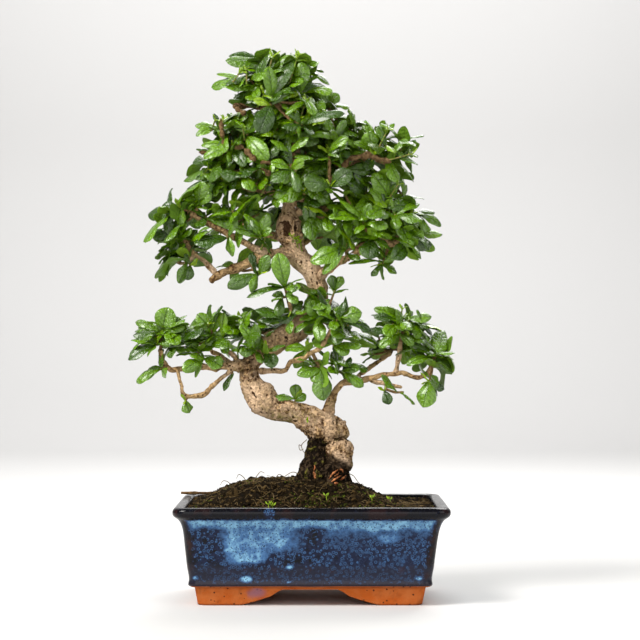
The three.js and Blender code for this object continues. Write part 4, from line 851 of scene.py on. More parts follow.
class Paint(Graph):
    """The nodes of one new material, up to its shader."""

    def __init__(self, name: str, viewport: Tint, groups: Groups) -> None:
        """Makes the material with only its shader and output.

        Args:
            name: the material's name.
            viewport: its plain colour where no render is made.
            groups: the shared shader groups.
        """
        self.material = bpy.data.materials.new(name)
        self.material.use_nodes = True
        self.material.diffuse_color = (*viewport.value, 1)
        self.groups = groups
        super().__init__(self.material.node_tree)

    @cached_property
    def place(self) -> bpy.types.NodeSocket:
        """The place on the object, in metres."""
        return self.add("ShaderNodeTexCoord").outputs["Object"]

    def number(self, name: str) -> bpy.types.NodeSocket:
        """A number that the mesh carries under this name."""
        return self.add("ShaderNodeAttribute", attribute_name=name).outputs["Fac"]

    def mottle(self, scale: float, low: float, high: float, detail: float = 4.0) -> bpy.types.NodeSocket:
        """Soft patches, from the shared group."""
        sockets = {"Place": self.place, "Scale": scale, "Detail": detail, "Low": low, "High": high}
        return self.add("ShaderNodeGroup", sockets, node_tree=self.groups.mottle).outputs[0]

    def speckle(
        self, scale: float, size: float, share: float = 1.0, softness: float = 0.1
    ) -> bpy.types.NodeSocket:
        """Scattered round spots, from the shared group."""
        sockets = {"Place": self.place, "Scale": scale, "Size": size, "Softness": softness, "Share": share}
        return self.add("ShaderNodeGroup", sockets, node_tree=self.groups.speckle).outputs[0]

    def bump(self, height: object, depth: float) -> bpy.types.NodeSocket:
        """Relief that only shades: a height from 0 to 1 over a depth in metres."""
        sockets = {"Height": height, "Distance": depth, "Strength": 1.0}
        return self.add("ShaderNodeBump", sockets).outputs["Normal"]

    def wired(self, sockets: Inputs) -> bpy.types.Material:
        """The material, with its shader's inputs fed."""
        self.feed(self.tree.nodes["Principled BSDF"], sockets)
        return self.material


@dataclass(frozen=True)
class LeafFinish:
    """Glossy leaves, from lime when young to deep green, each with a slightly different tone."""

    name: str
    young: Tint
    grown: Tint
    deep: Tint
    rib: Tint
    roughness: float
    coat: float

    def build(self, groups: Groups) -> bpy.types.Material:
        """Makes the material.

        The midrib is the strip where u is near 0.5. Side veins are waves of v minus half the distance from
        the midrib.

        Args:
            groups: the shared shader groups.

        Returns:
            The material.
        """
        paint = Paint(self.name, self.grown, groups)
        age, tone = paint.number("age"), paint.number("tone")
        blade = paint.add("ShaderNodeUVMap", uv_map="blade").outputs[0]
        u, v = paint.add("ShaderNodeSeparateXYZ", {0: blade}).outputs[:2]
        off = paint.maths("ABSOLUTE", paint.maths("SUBTRACT", u, 0.5))
        colour = paint.mix(paint.remap(age, 0.0, 0.55), self.young, self.grown)
        deeper = paint.mix(paint.remap(age, 0.2, 0.7), colour, self.deep)
        colour = paint.mix(paint.remap(tone, 0.25, 0.95), colour, deeper)
        patch = paint.mottle(scale=260.0, low=0.35, high=0.75)
        colour = paint.mix(paint.times(patch, 0.35), colour, self.rib)
        rib = paint.remap(off, 0.05, 0.012)
        colour = paint.mix(paint.times(rib, 0.45), colour, self.rib)
        slant = paint.maths("SUBTRACT", v, paint.times(off, 0.5))
        wave = paint.maths("SINE", paint.times(slant, 42.0))
        veins = paint.remap(wave, 0.45, 1.0, 0.0, 0.6)
        colour = paint.mix(paint.times(veins, 0.32), colour, self.rib)
        pucker = paint.times(paint.mottle(scale=420.0, low=0.3, high=0.7, detail=2.0), 1.4)
        dip = paint.maths("ADD", paint.times(rib, 1.2), veins)
        return paint.wired(
            {
                "Base Color": colour,
                "Roughness": paint.remap(patch, 0.0, 1.0, self.roughness, self.roughness + 0.14),
                "Specular IOR Level": 0.5, "Coat Weight": self.coat, "Coat Roughness": 0.2,
                "Normal": paint.bump(paint.maths("SUBTRACT", pucker, dip), 0.00035)
            }
        )


@dataclass(frozen=True)
class BarkFinish:
    """Bark with smooth pale stretches and brown crust, whose places come from numbers on the mesh."""

    name: str
    pale: Tint
    tan: Tint
    brown_pale: Tint
    brown_tan: Tint
    crust: Tint
    moss: Tint
    grain: float

    def build(self, groups: Groups) -> bpy.types.Material:
        """Makes the material: pale skin, brown crust and pits, then damp and moss over them;
        the pit, damp and moss colours also stand for painted shade in places.

        The number "brown" leads from the trunk's tones to those of the branches.

        Args:
            groups: the shared shader groups.

        Returns:
            The material.
        """
        paint = Paint(self.name, self.tan, groups)
        fine = paint.mottle(scale=self.grain, low=0.44, high=0.56, detail=6.0)
        coarse = paint.mottle(scale=self.grain * 0.4, low=0.4, high=0.6)
        broad = paint.mottle(scale=55.0, low=0.35, high=0.65)
        brown = paint.number("brown")
        pale, tan = paint.mix(brown, self.pale, self.brown_pale), paint.mix(brown, self.tan, self.brown_tan)
        colour = paint.mix(paint.times(broad, 0.5), pale, tan)
        crusted = paint.times(paint.number("crust"), paint.remap(coarse, 0, 1, 0.3, 1.0))
        colour = paint.mix(crusted, colour, paint.mix(fine, self.crust, tan))
        scales = paint.speckle(scale=290.0, size=0.36, share=0.3)
        colour = paint.mix(paint.times(paint.times(scales, crusted), 0.8), colour, pale)
        shade = paint.maths("ADD", paint.number("relief"), paint.times(fine, 0.16))
        colour = paint.mix(paint.remap(shade, 0.38, 0.16), colour, Tint.BARK_PIT_AND_CRACK_SHADE)
        flecks = paint.speckle(scale=330.0, size=0.32, share=0.36)
        colour = paint.mix(paint.times(flecks, 0.85), colour, self.crust)
        # The pit, damp and moss tones also paint shade: in the crack and on bark that faces down.
        wet = paint.times(paint.number("wet"), paint.remap(fine, 0.9, 0.3, 0.93, 1.0))
        colour = paint.mix(wet, colour, Tint.WET_WOOD_AND_CRACK_SHADE)
        moss = paint.times(paint.number("moss"), paint.remap(fine, 0.25, 0.75, 0.2, 1.0))
        height = paint.maths("SUBTRACT", fine, paint.times(flecks, 0.4))
        return paint.wired(
            {
                "Base Color": paint.mix(moss, colour, self.moss),
                "Roughness": paint.remap(wet, 0.0, 1.0, 0.88, 0.7), "Specular IOR Level": 0.04,
                "Normal": paint.bump(height, 0.0011)
            }
        )


@dataclass(frozen=True)
class GlazeFinish:
    """Glaze that runs from black through navy to sky blue, full of fine speckles."""

    name: str = "blue and black glaze"
    stages: tuple[tuple[float, float, Tint], ...] = (
        (0.06, 0.28, Tint.NAVY_GLAZE), (0.3, 0.68, Tint.BLUE_GLAZE), (0.62, 1.0, Tint.SKY_GLAZE)
    )
    dot_scale: float = 400.0
    dot_softness: float = 0.12

    def build(self, groups: Groups) -> bpy.types.Material:
        """Makes the material.

        A number "pale" on the mesh, stirred by a noise, leads through the four glaze tones. Where it is high,
        small dark dots lie in it, and where it is low, small light rings.

        Args:
            groups: the shared shader groups.

        Returns:
            The material.
        """
        paint = Paint(self.name, Tint.NAVY_GLAZE, groups)
        smooth = paint.number("smooth")
        cloud = paint.mottle(scale=330.0, low=0.3, high=0.7, detail=5.0)
        stirred = paint.times(paint.maths("SUBTRACT", cloud, 0.5), 0.22)
        pale = paint.maths("ADD", paint.number("pale"), stirred)
        colour = Tint.BLACK_GLAZE
        for low, high, tint in self.stages:
            colour = paint.mix(paint.remap(pale, low, high), colour, tint)
        dots = paint.speckle(self.dot_scale, 0.5, softness=self.dot_softness)
        inner = paint.speckle(self.dot_scale, 0.32, softness=self.dot_softness)
        core = paint.speckle(1.6 * self.dot_scale, 0.34, softness=self.dot_softness)
        dark = paint.times(paint.remap(pale, 0.4, 0.75, 0.0, 0.9), core)
        colour = paint.mix(dark, colour, Tint.NAVY_GLAZE)
        rings = paint.maths("SUBTRACT", dots, inner)
        seen = paint.times(rings, paint.remap(smooth, 0.0, 1.0, 1.0, 0.45))
        light = paint.times(paint.remap(pale, 0.6, 0.15, 0.0, 0.85), seen)
        light = paint.times(light, paint.remap(pale, 0.12, 0.24))
        colour = paint.mix(paint.times(smooth, 0.7), colour, Tint.SLATE_GLAZE)
        colour = paint.mix(light, colour, Tint.BLUE_GLAZE)
        # Part of the rust tone is painted shadow at the glaze's lower edge.
        return paint.wired(
            {
                "Base Color": paint.mix(paint.number("rust"), colour, Tint.RUST_GLAZE),
                "Roughness": paint.remap(cloud, 0.0, 1.0, 0.16, 0.3), "Specular IOR Level": 0.1,
                "Coat Weight": 0.2, "Coat Roughness": 0.04, "Normal": paint.bump(rings, 0.00004)
            }
        )


@dataclass(frozen=True)
class GrainFinish:
    """A matt finish of two tones in patches, with spots of a third and a fine relief.

    Attributes:
        name: the material's name.
        main, other, spot: its three tones.
        scale: how fine the patches are.
        spot_scale: how fine the spots are.
        spot_share: how many of the cells hold a spot, from 0 to 1.
        roughness: of the surface.
        depth: of the relief, in metres.
    """

    name: str
    main: Tint
    other: Tint
    spot: Tint
    scale: float
    spot_scale: float
    spot_share: float
    roughness: float
    depth: float

    def build(self, groups: Groups) -> bpy.types.Material:
        """Makes the material; a number "tint" on the mesh moves it towards the third tone.

        Args:
            groups: the shared shader groups.

        Returns:
            The material.
        """
        paint = Paint(self.name, self.main, groups)
        patch = paint.mottle(scale=self.scale, low=0.3, high=0.7, detail=6.0)
        spots = paint.speckle(scale=self.spot_scale, size=0.35, share=self.spot_share)
        marked = paint.maths("MAXIMUM", spots, paint.number("tint"))
        colour = paint.mix(marked, paint.mix(patch, self.main, self.other), self.spot)
        height = paint.maths("ADD", patch, paint.times(spots, 0.5))
        return paint.wired(
            {
                "Base Color": paint.mix(paint.number("blot"), colour, Tint.BLOT), "Roughness": self.roughness,
                "Specular IOR Level": 0.05, "Normal": paint.bump(height, self.depth)
            }
        )


class Palette:
    """All finishes of the plant, its pot and the floor."""

    def __init__(self) -> None:
        """Builds the shared groups and every material once."""
        groups = Groups()
        self.leaf_top = LeafFinish(
            "leaf upper side", Tint.LEAF_YOUNG, Tint.LEAF_GROWN, Tint.LEAF_DEEP, Tint.LEAF_RIB, 0.21, 0.42
        ).build(groups)
        self.leaf_under = LeafFinish(
            "leaf underside", Tint.UNDER_YOUNG, Tint.UNDER_GROWN, Tint.UNDER_DEEP, Tint.UNDER_DEEP, 0.55, 0.0
        ).build(groups)
        self.bark = BarkFinish(
            "bark", Tint.BARK_PALE, Tint.BARK_TAN, Tint.BRANCH_PALE, Tint.BRANCH_TAN, Tint.BARK_CRUST,
            Tint.MOSS, 420.0
        ).build(groups)
        self.twig = BarkFinish(
            "twig bark", Tint.TWIG_PALE, Tint.TWIG, Tint.TWIG_PALE, Tint.TWIG, Tint.BRANCH_CRUST, Tint.SHOOT,
            900.0
        ).build(groups)
        self.glaze = GlazeFinish().build(groups)
        self.clay = GrainFinish(
            "bare clay", Tint.CLAY, Tint.CLAY_PALE, Tint.CLAY_DARK, 90.0, 420.0, 0.12, 0.85, 0.0003
        ).build(groups)
        self.soil = GrainFinish(
            "soil", Tint.SOIL, Tint.SOIL_BROWN, Tint.SOIL_CRUMB, 350.0, 700.0, 0.2, 0.95, 0.0009
        ).build(groups)
        self.hair = GrainFinish(
            "dry roots", Tint.ROOT_HAIR, Tint.SOIL_CRUMB, Tint.SOIL, 300.0, 900.0, 0.2, 0.9, 0.0002
        ).build(groups)
        self.moss = GrainFinish(
            "moss", Tint.MOSS_GREEN, Tint.SOIL_BROWN, Tint.MOSS_LIGHT, 500.0, 1300.0, 0.3, 0.95, 0.0006
        ).build(groups)
        self.lime = GrainFinish(
            "seedling", Tint.LIME, Tint.SHOOT, Tint.LEAF_GROWN, 400.0, 900.0, 0.1, 0.6, 0.0001
        ).build(groups)
        self.dead = GrainFinish(
            "dead wood", Tint.DEAD, Tint.TWIG, Tint.SOIL, 300.0, 800.0, 0.2, 0.9, 0.0003
        ).build(groups)
        self.chip = GrainFinish(
            "peeled root", Tint.CHIP, Tint.CHIP_DARK, Tint.WET_WOOD_AND_CRACK_SHADE, 500.0, 900.0, 0.2, 0.8, 0.0003
        ).build(groups)
        self.plastic = GrainFinish(
            "black plastic", Tint.PLASTIC, Tint.PLASTIC, Tint.PLASTIC, 100.0, 100.0, 0.1, 0.6, 0.0001
        ).build(groups)
        floor = Paint("pale floor", Tint.FLOOR, groups)
        self.floor = floor.wired({"Base Color": Tint.FLOOR, "Roughness": 0.7})


# Wood


class Skeleton:
    """The centrelines of all limbs, to find where a twig leaves the wood."""

    def __init__(self, step: float = 1.6) -> None:
        """Samples every limb, with about one point per step."""
        limbs = [np.array(limb, float) for limb in LIMBS.values()]
        self.points = np.concatenate([smooth_line(k, max(12, int(chords(k).sum() / step))) for k in limbs])

    def nearest(self, place: Array) -> Array:
        """The centreline point nearest to a place."""
        return self.points[np.argmin(np.linalg.norm(self.points[:, :3] - place, axis=1)), :3]


@dataclass
class Relief:
    """Bark relief.

    Attributes:
        swelling, ridge, pit: height of the swellings and ridges and depth of the pits, in millimetres.
        grain: how coarse it is.
    """

    swelling: float
    ridge: float
    pit: float
    grain: float = 1.0

    def heights(self, stem: Surface, line: Array, seed: int) -> tuple[Array, Array, Array]:
        """The relief at a stem's points.

        The ridges and pits are read in a space where the stem is unrolled straight and squeezed along its
        length, so that they come out longer than wide.

        Args:
            stem: a tube's surface.
            line: the centreline that it was made along.
            seed: which noise.

        Returns:
            The height in millimetres, the darkness number from 0 in a pit to 1 on a ridge, and how crusty the
            bark is, from 0 to 1.
        """
        sides = len(stem.points) // len(line)
        walked = np.concatenate([[0], np.cumsum(chords(line))])
        run = np.repeat(walked, sides)
        radius = np.repeat(np.maximum(line[:, 3], 2.0), sides)
        angle = stem.values["angle"] * 2 * np.pi
        unrolled = np.stack([radius * np.cos(angle), radius * np.sin(angle), run * 0.55], axis=1)
        broad = layered_noise(stem.points, 13 * self.grain, seed, 2)
        ridge = layered_noise(unrolled, 3.6 * self.grain, seed + 5, 3)
        pits = np.maximum(layered_noise(stem.points, 2.6 * self.grain, seed + 9, 2) - 0.45, 0)
        crust = step_up(layered_noise(stem.points, 11 * self.grain, seed + 13), -0.15, 0.45)
        rough = layered_noise(stem.points, 1.9, seed + 17, 2)
        share = np.minimum(radius / 8, 1)
        height = share * (
            self.swelling * broad + self.ridge * (0.4 + 0.6 * crust) * ridge - self.pit * 2.2 * pits
        )
        height = height + (0.3 + 0.35 * share) * crust * rough
        grit = layered_noise(stem.points, 1.1, seed + 23, 2)
        tone = np.clip(0.6 + 0.22 * ridge + crust * (0.34 * rough + 0.3 * grit) - 1.3 * pits, 0, 1)
        return height, tone, crust


@dataclass
class Scar:
    """An old pruning wound: a sunken oval inside a rolled edge on the trunk's front.

    Attributes:
        middle: x and z of its centre.
        half_width, half_height: half its size.
        sink, roll: how deep its floor lies and how far its edge stands out.
    """

    middle: tuple[float, float]
    half_width: float
    half_height: float
    sink: float
    roll: float

    def carve(self, points: Array) -> tuple[Array, Array]:
        """The height that the wound adds at points of the trunk, and how dark it is there.

        The distance is 1 on the oval. The floor sinks inside it, the roll is a narrow hump on it.

        Args:
            points: places on the trunk.

        Returns:
            The height in millimetres, and the darkness from 0 to 1.
        """
        across = (points[:, 0] - self.middle[0]) / self.half_width
        along = (points[:, 2] - self.middle[1]) / self.half_height
        away = np.hypot(across, along)
        front = (points[:, 1] < -1.0).astype(float)
        floor = step_up(away, 1.0, 0.7)
        hump = np.exp(-(((away - 1.3) / 0.28) ** 2))
        ring = step_up(away, 0.8, 1.0) * step_up(away, 2.2, 1.5)
        swirl = np.sin(15 * away + 1.6 * np.arctan2(along, across)) * ring
        dark = np.clip(floor + 0.55 * (swirl > 0.45), 0, 1)
        return front * (self.roll * hump - self.sink * floor + 0.35 * swirl), front * dark


@dataclass
class Trunk:
    """The main stem, its root base and the branches.

    Attributes:
        skeleton: the centrelines of all limbs.
        base: the stem's lowest points x, y, z and radius, up to a point of the trunk's own list.
        joint: the number of that point.
        bulb_middle, bulb_half: the swelling's centre, and half its width, depth and height.
        lumps: x, y, z, size and rise of swellings on the stem.
        scars: its pruning wounds.
        lenticels: x, z and size of small dark marks on the front.
        peeled: strips of fresh wood, each three times x, z and radius.
        sides, rings: how many points the stem has round it and along it.
    """

    skeleton: Skeleton
    base: Rows = (
        (17, 0, 60, 11), (18, 0, 80, 11.8), (18, -1, 90, 10.6), (17.5, 0, 99, 8.8), (17, 0, 108, 8.4),
        (16.4, -1, 115.5, 9.2), (14, -2, 121.5, 12.4), (6, -3, 127, 11.8)
    )
    joint: int = 8
    bulb_middle: Triple = (19.4, -6.2, 104.6)
    bulb_half: Triple = (12.0, 10.0, 14.2)
    lumps: Rows = (
        (-31, -6, 158, 7, 2.6), (-44, -8, 140, 8, 1.5), (-6, -12, 128, 6, 1.2), (12, -9, 130, 6, 1.4),
        (24, -4, 121, 4.5, 1.8), (2, -2, 226, 6, 1.2), (-14, 4, 250, 7, 1.4), (-21, -4, 262, 5, 1.2)
    )
    scars: tuple[Scar, ...] = (
        Scar((-19.2, 273.5), 4.6, 7.8, 3.4, 1.9), Scar((-12.0, 275.0), 1.6, 5.4, 1.2, 1.2)
    )
    lenticels: tuple[Triple, ...] = (
        (-7.9, 248.7, 0.95), (-10.7, 253.6, 0.7), (0.6, 240.9, 0.9), (-0.6, 235.6, 0.95), (4.8, 240.9, 0.6),
        (4.1, 233.2, 1.05), (-6.2, 252.6, 0.55), (-15.6, 257.0, 0.8), (-14.9, 252.8, 0.6), (1.5, 229.0, 0.7),
        (7.4, 236.0, 0.6), (-3.2, 245.0, 0.5), (-12.4, 262.5, 0.6), (6.6, 226.5, 0.7), (-33.0, 150.0, 0.9),
        (-41.0, 162.0, 1.0), (-38.5, 155.0, 0.8), (-24.0, 141.5, 0.8), (-14.0, 133.0, 0.9)
    )
    peeled: Rows = (
        (1.8, 98.5, 0.2, 2.4, 96.5, 0.5, 1.6, 94.5, 0.3), (1.4, 93.5, 0.4, 2.2, 91, 1.1, 2.6, 88.5, 0.7),
        (12.6, 88.6, 0.3, 15.6, 92.6, 0.8, 19.6, 95.0, 0.3),
        (20.6, 95.4, 0.3, 22.4, 94.8, 0.7, 23.2, 92.4, 0.2),
        (14.6, 86.8, 0.3, 18.2, 89.2, 0.8, 22.4, 90.6, 0.25),
        (15.5, 84.6, 0.3, 17.5, 85.6, 0.9, 19.4, 85.8, 0.3),
        (21, 87.0, 0.3, 23.4, 88.6, 0.7, 25.5, 90.6, 0.3), (20.4, 93.4, 0.2, 18.8, 91.6, 0.5, 16.8, 90.8, 0.2)
    )
    sides: int = 92
    rings: int = 560

    def stem(self) -> Surface:
        """The main stem with its bark relief, its wounds, moss low down and damp at the root.

        Returns:
            The stem, with the numbers that the bark reads.
        """
        controls = np.array([*self.base, *LIMBS["trunk"][self.joint :]], float)
        line = smooth_line(controls, self.rings)
        stem = tube(line, self.sides)
        outward = outward_from(line, stem)
        height, tone, crust = Relief(1.6, 1.2, 1.0).heights(stem, line, 3)
        for x, y, z, size, rise in self.lumps:
            away = np.linalg.norm(stem.points - np.array([x, y, z]), axis=1)
            height = height + rise * np.exp(-((away / size) ** 2))
        # The crack is sunk and darkened: painted shade inside it.
        crack = self.crack(stem.points)
        height, tone = height - 1.6 * crack, tone * (1 - 0.9 * crack)
        for scar in self.scars:
            carved, floor = scar.carve(stem.points)
            height = height * (1 - 0.7 * floor) + carved
            tone = tone * (1 - 0.97 * floor)
            crust = np.maximum(crust, floor)
        x, y, z = stem.points.T
        smooth = step_up(z, 206, 214) * step_up(z, 264, 256)
        crust, height = crust * (1 - 0.85 * smooth), height * (1 - 0.35 * smooth)
        for spot_x, spot_z, size in self.lenticels:
            mark = oval(x, z, (spot_x, spot_z), (size, 1.5 * size), 2) * (y < 3)
            height, tone = height - 0.5 * mark, tone * (1 - mark)
        stem.points = stem.points + outward * height[:, None]
        stem.values = {"relief": tone, **self.stains_and_shade(stem.points, outward, crust)}
        return stem

    @staticmethod
    def crack(points: Array) -> Array:
        """1 in the dark crack above the swelling and in the crease up from its left end, 0 elsewhere.
        The dark there is painted shade.

        Args:
            points: places on the wood.

        Returns:
            Numbers from 0 to 1.
        """
        x, y, z = points.T
        stir = 1.1 * lattice_noise(points, 2.4, 27)
        across = np.exp(-(((z - 119.2 + 0.14 * (x - 9) + 0.5 * stir) / 1.1) ** 2)) * step_up(x, 5, 10)
        reach = step_up(z, 117, 119) * step_up(z, 137, 130)
        upward = np.exp(-(((x - 9.5 + 0.14 * (z - 119) + stir) / 0.9) ** 2)) * reach
        return np.maximum(across, 0.8 * upward) * (y < 2)

    def bulb(self) -> Surface:
        """The pale round swelling on the root base, cracked off from the stem above it.

        Returns:
            The swelling, with the numbers that the bark reads.
        """
        share = np.cos(np.linspace(np.pi, 0, 90))
        same = np.ones(len(share))
        wide, deep, tall = self.bulb_half
        left, back, up = self.bulb_middle
        radius = wide * np.maximum(1 - np.abs(share) ** 2.7, 0.0004) ** 0.42
        line = np.column_stack([left + 1.2 * share, back * same, up + tall * share, radius])
        ball = tube(line, 84, (1, 0, 0))
        ball.points[:, 1] = back + (ball.points[:, 1] - back) * deep / wide
        outward = unit(ball.points - np.array(self.bulb_middle))
        thick = np.column_stack([line[:, :3], wide * same])
        height, tone, crust = Relief(1.7, 0.5, 0.9).heights(ball, thick, 41)
        ball.points = ball.points + outward * height[:, None]
        x, _, z = ball.points.T
        low = step_up(z + 0.55 * (x - 13) + 2.4 * lattice_noise(ball.points, 3, 29), 109.2, 104.2)
        # The swelling's top edge below the crack is darkened as painted shade, through its tone and the damp
        # number.
        rim = step_up(z, 114.5, 117.5)
        tone = tone * (1 - 0.85 * rim)
        ball.values = {"relief": tone, **self.stains_and_shade(ball.points, outward, crust)}
        # Damp at the low end; at the top edge this number is painted shade under the crack.
        ball.values["wet"] = np.maximum(0.95 * low, 0.5 * rim)
        return ball

    @staticmethod
    def stains_and_shade(points: Array, outward: Array, crust: Array) -> dict[str, Array]:
        """Crust, moss on low bark, painted shade in moss colour on bark that faces down,
        and the black damp root near the soil.

        The damp reaches higher on the left of the base than on the right, along a line that falls with x.

        Args:
            points: places on the bark.
            outward: unit directions out of it.
            crust: how crusty the bark is.

        Returns:
            The numbers "crust", "moss", "wet" and "brown".
        """
        x, y, z = points.T
        patches = layered_noise(points, 9, 71)
        ragged = layered_noise(points, 3.5, 73)
        low = step_up(z, 160, 125)
        # Bark that faces down gets moss colour as painted shade.
        under = step_up(outward[:, 2], 0.1, -0.8)
        moss = np.clip(
            0.5 * low * step_up(patches, 0.0, 0.7) + 0.45 * under * step_up(patches, 0, 0.7), 0, 0.7
        )
        damp_line = np.clip(118 - 1.1 * (x - 9), 97, 119)
        wet = step_up(z + 3.2 * ragged, damp_line + 1.5, damp_line - 1.5)
        shoulder = oval(x, z, (2, 128), (9, 9), 2)
        clump = oval(x, z, (-45, 170), (8, 8), 2) * (y < 2)
        calm = step_up(x, -24, -34) * step_up(z, 165, 158) * step_up(z, 130, 138) * (y < 2)
        crust = np.clip(
            (crust + 0.65 * low * step_up(patches, -0.9, 0.3)) * (1 - 0.75 * calm) + clump + 0.9 * shoulder,
            0, 1
        )
        bend = oval(x, z, (-27, 192), (17, 12), 2) * step_up(patches, -0.7, 0.3)
        crust = np.maximum(crust, 0.75 * bend)
        damp = np.clip(wet + (0.55 * clump + 0.3 * shoulder) * step_up(ragged, -0.5, 0.6), 0, 1)
        brown = 0.6 * step_up(z, 172, 184) * step_up(z, 236, 212) * step_up(patches, -0.8, 0.4)
        return {"crust": crust, "moss": moss * (1 - wet), "wet": damp, "brown": brown}

    def column(self) -> Surface:
        """The dark root column left of the base: a stem pleated into upright fibres.

        Returns:
            The column, with the numbers that the bark reads.
        """
        controls = [[-1, -6, 64, 10], [2, -7, 80, 10], [2, -7, 92, 9.2], [4, -5, 106, 8.2], [8, -4, 120, 8]]
        line = smooth_line(np.array(controls), 170)
        stem = tube(line, 72, (1, 0, 0))
        outward = outward_from(line, stem)
        angle = stem.values["angle"] * 2 * np.pi
        turned = np.stack([9 * np.cos(angle), 9 * np.sin(angle), stem.points[:, 2] * 0.16], axis=1)
        pleats = layered_noise(turned, 2.6, 17, 3)
        lumps = layered_noise(stem.points, 5.0, 19, 3)
        stem.points = stem.points + outward * (1.5 * pleats + 1.1 * lumps)[:, None]
        olive = 0.75 * step_up(lumps + 0.6 * lattice_noise(stem.points, 1.7, 18), 0.35, 0.8)
        stem.values = {
            "relief": np.clip(0.5 + 0.5 * pleats, 0, 1), "crust": np.ones(len(lumps)), "moss": olive,
            "wet": np.ones(len(lumps)), "brown": 0 * lumps
        }
        return stem

    def limb(self, name: str, seed: int) -> Surface:
        """One branch or root: a collar where it starts, knobs along it and fine bark.

        Args:
            name: its name in LIMBS.
            seed: which noise.

        Returns:
            The limb, with the numbers that the bark reads.
        """
        raw = np.array(LIMBS[name], float)
        length = chords(raw).sum()
        count = int(np.clip(length / 0.9, 24, 170))
        line = smooth_line(raw, count)
        walked = np.linspace(0, length, count)
        start = raw[0, 3]
        sides, knot = (30, 0.42) if start > THICK_LIMB else (18, 0.5)
        knots = np.maximum(lattice_noise(line[:, :3], 4.5, seed), 0)
        line[:, 3] *= 1 + 0.3 * np.exp(-walked / (1.6 * start)) + knot * knots
        line[:, 3] *= 0.4 + 0.6 * step_up(walked, 0, 1.1 * start)
        ends = np.minimum(walked, length - walked)
        line[:, :3] += 0.8 * wander(line, 7.5, seed + 40) * np.minimum(ends / 8, 1)[:, None]
        line = rounded_end(line)
        stem = tube(line, sides)
        outward = outward_from(line, stem)
        height, tone, crust = Relief(1.3, 1.6, 1.1, 0.7).heights(stem, line, seed)
        stem.points = stem.points + outward * height[:, None]
        stains_and_shade = self.stains_and_shade(stem.points, outward, crust)
        if name.startswith("root"):
            stains_and_shade["wet"] = np.ones(len(tone))
        elif name != "knob_right":
            stains_and_shade["brown"] = np.repeat(step_up(np.linspace(0, length, len(line)), 5, 24), sides)
            patches = lattice_noise(stem.points, 5.5, seed + 70)
            stains_and_shade["crust"] = np.clip(stains_and_shade["crust"] + 0.6 * step_up(patches, 0.0, 0.5), 0, 1)
        stem.values = {"relief": tone, **stains_and_shade}
        return stem

    def chips(self, wood: Array) -> Surface:
        """Orange strips of fresh wood where the root base has peeled: thin tubes laid on its front.

        Args:
            wood: the points of the stem with its root base.

        Returns:
            The strips.
        """
        strips = []
        for ends in self.peeled:
            raw = np.array(ends, float).reshape(-1, 3)
            line = smooth_line(np.column_stack([raw[:, 0], 0 * raw[:, 0], raw[:, 1:]]), 22)
            for point in line:
                near = np.hypot(wood[:, 0] - point[0], wood[:, 2] - point[2]) < 1.3
                point[1] = wood[near, 1].min() if near.any() else -20.0
            line[1:-1, 1] = (line[:-2, 1] + line[1:-1, 1] + line[2:, 1]) / 3
            line[:, 3] *= 1 + 0.3 * lattice_noise(line[:, :3], 1.5, 31)
            strips.append(tube(line, 7))
        surface = joined(strips)
        surface.values = {"tint": 0.8 * step_up(lattice_noise(surface.points, 1.3, 33), 0.0, 0.5)}
        return surface

    def build(self, palette: Palette) -> None:
        """Writes the stem with its root base, the strips of peeled root, and the branches.

        Args:
            palette: the finishes.
        """
        roots = [name for name in LIMBS if name.startswith("root") and name != "root_column"]
        base = [self.stem(), self.column(), self.bulb()]
        base += [self.limb(name, ROOT_SEED + k) for k, name in enumerate([*roots, "knob_right"])]
        whole = joined(base)
        write_piece("trunk_and_roots", whole, [palette.bark], ("trunk",))
        write_piece("peeled_root_chips", self.chips(whole.points), [palette.chip])
        skipped = {"trunk", "root_column", "knob_right", *roots}
        names = [name for name in LIMBS if name not in skipped]
        branches = [self.limb(name, BRANCH_SEED + k) for k, name in enumerate(names)]
        write_piece("branches", joined(branches), [palette.bark])


# Leaves and twigs


@dataclass
class Leaf:
    """One leaf; Blades says what its numbers are."""

    root: Array
    direction: Array
    up: Array
    length: float
    width: float
    arch: float
    age: float
    tone: float


@dataclass
class Blades:
    """Many leaves at once, one row of each array per leaf.

    Attributes:
        root: where the leaf leaves its twig.
        direction: the way that it sets out.
        up: the way that its upper side faces there.
        length, width: its size along the bent midrib and across.
        arch: how far it bends down from root to tip, in radians.
        age: 0 for a lime young leaf, 1 for an old one.
        tone: a random number from 0 to 1 for the leaf's own shade.
    """

    root: Array
    direction: Array
    up: Array
    length: Array
    width: Array
    arch: Array
    age: Array
    tone: Array

    def picked(self, which: NDArray) -> "Blades":
        """The leaves that a mask or a list of numbers picks."""
        return Blades(**{key: value[which] for key, value in vars(self).items()})

    @staticmethod
    def gathered(leaves: list[Leaf]) -> "Blades":
        """All leaves of a list.

        Args:
            leaves: the leaves.

        Returns:
            Their numbers, leaf by leaf.
        """
        return Blades(
            **{key: np.array([vars(leaf)[key] for leaf in leaves], float) for key in vars(leaves[0])}
        )


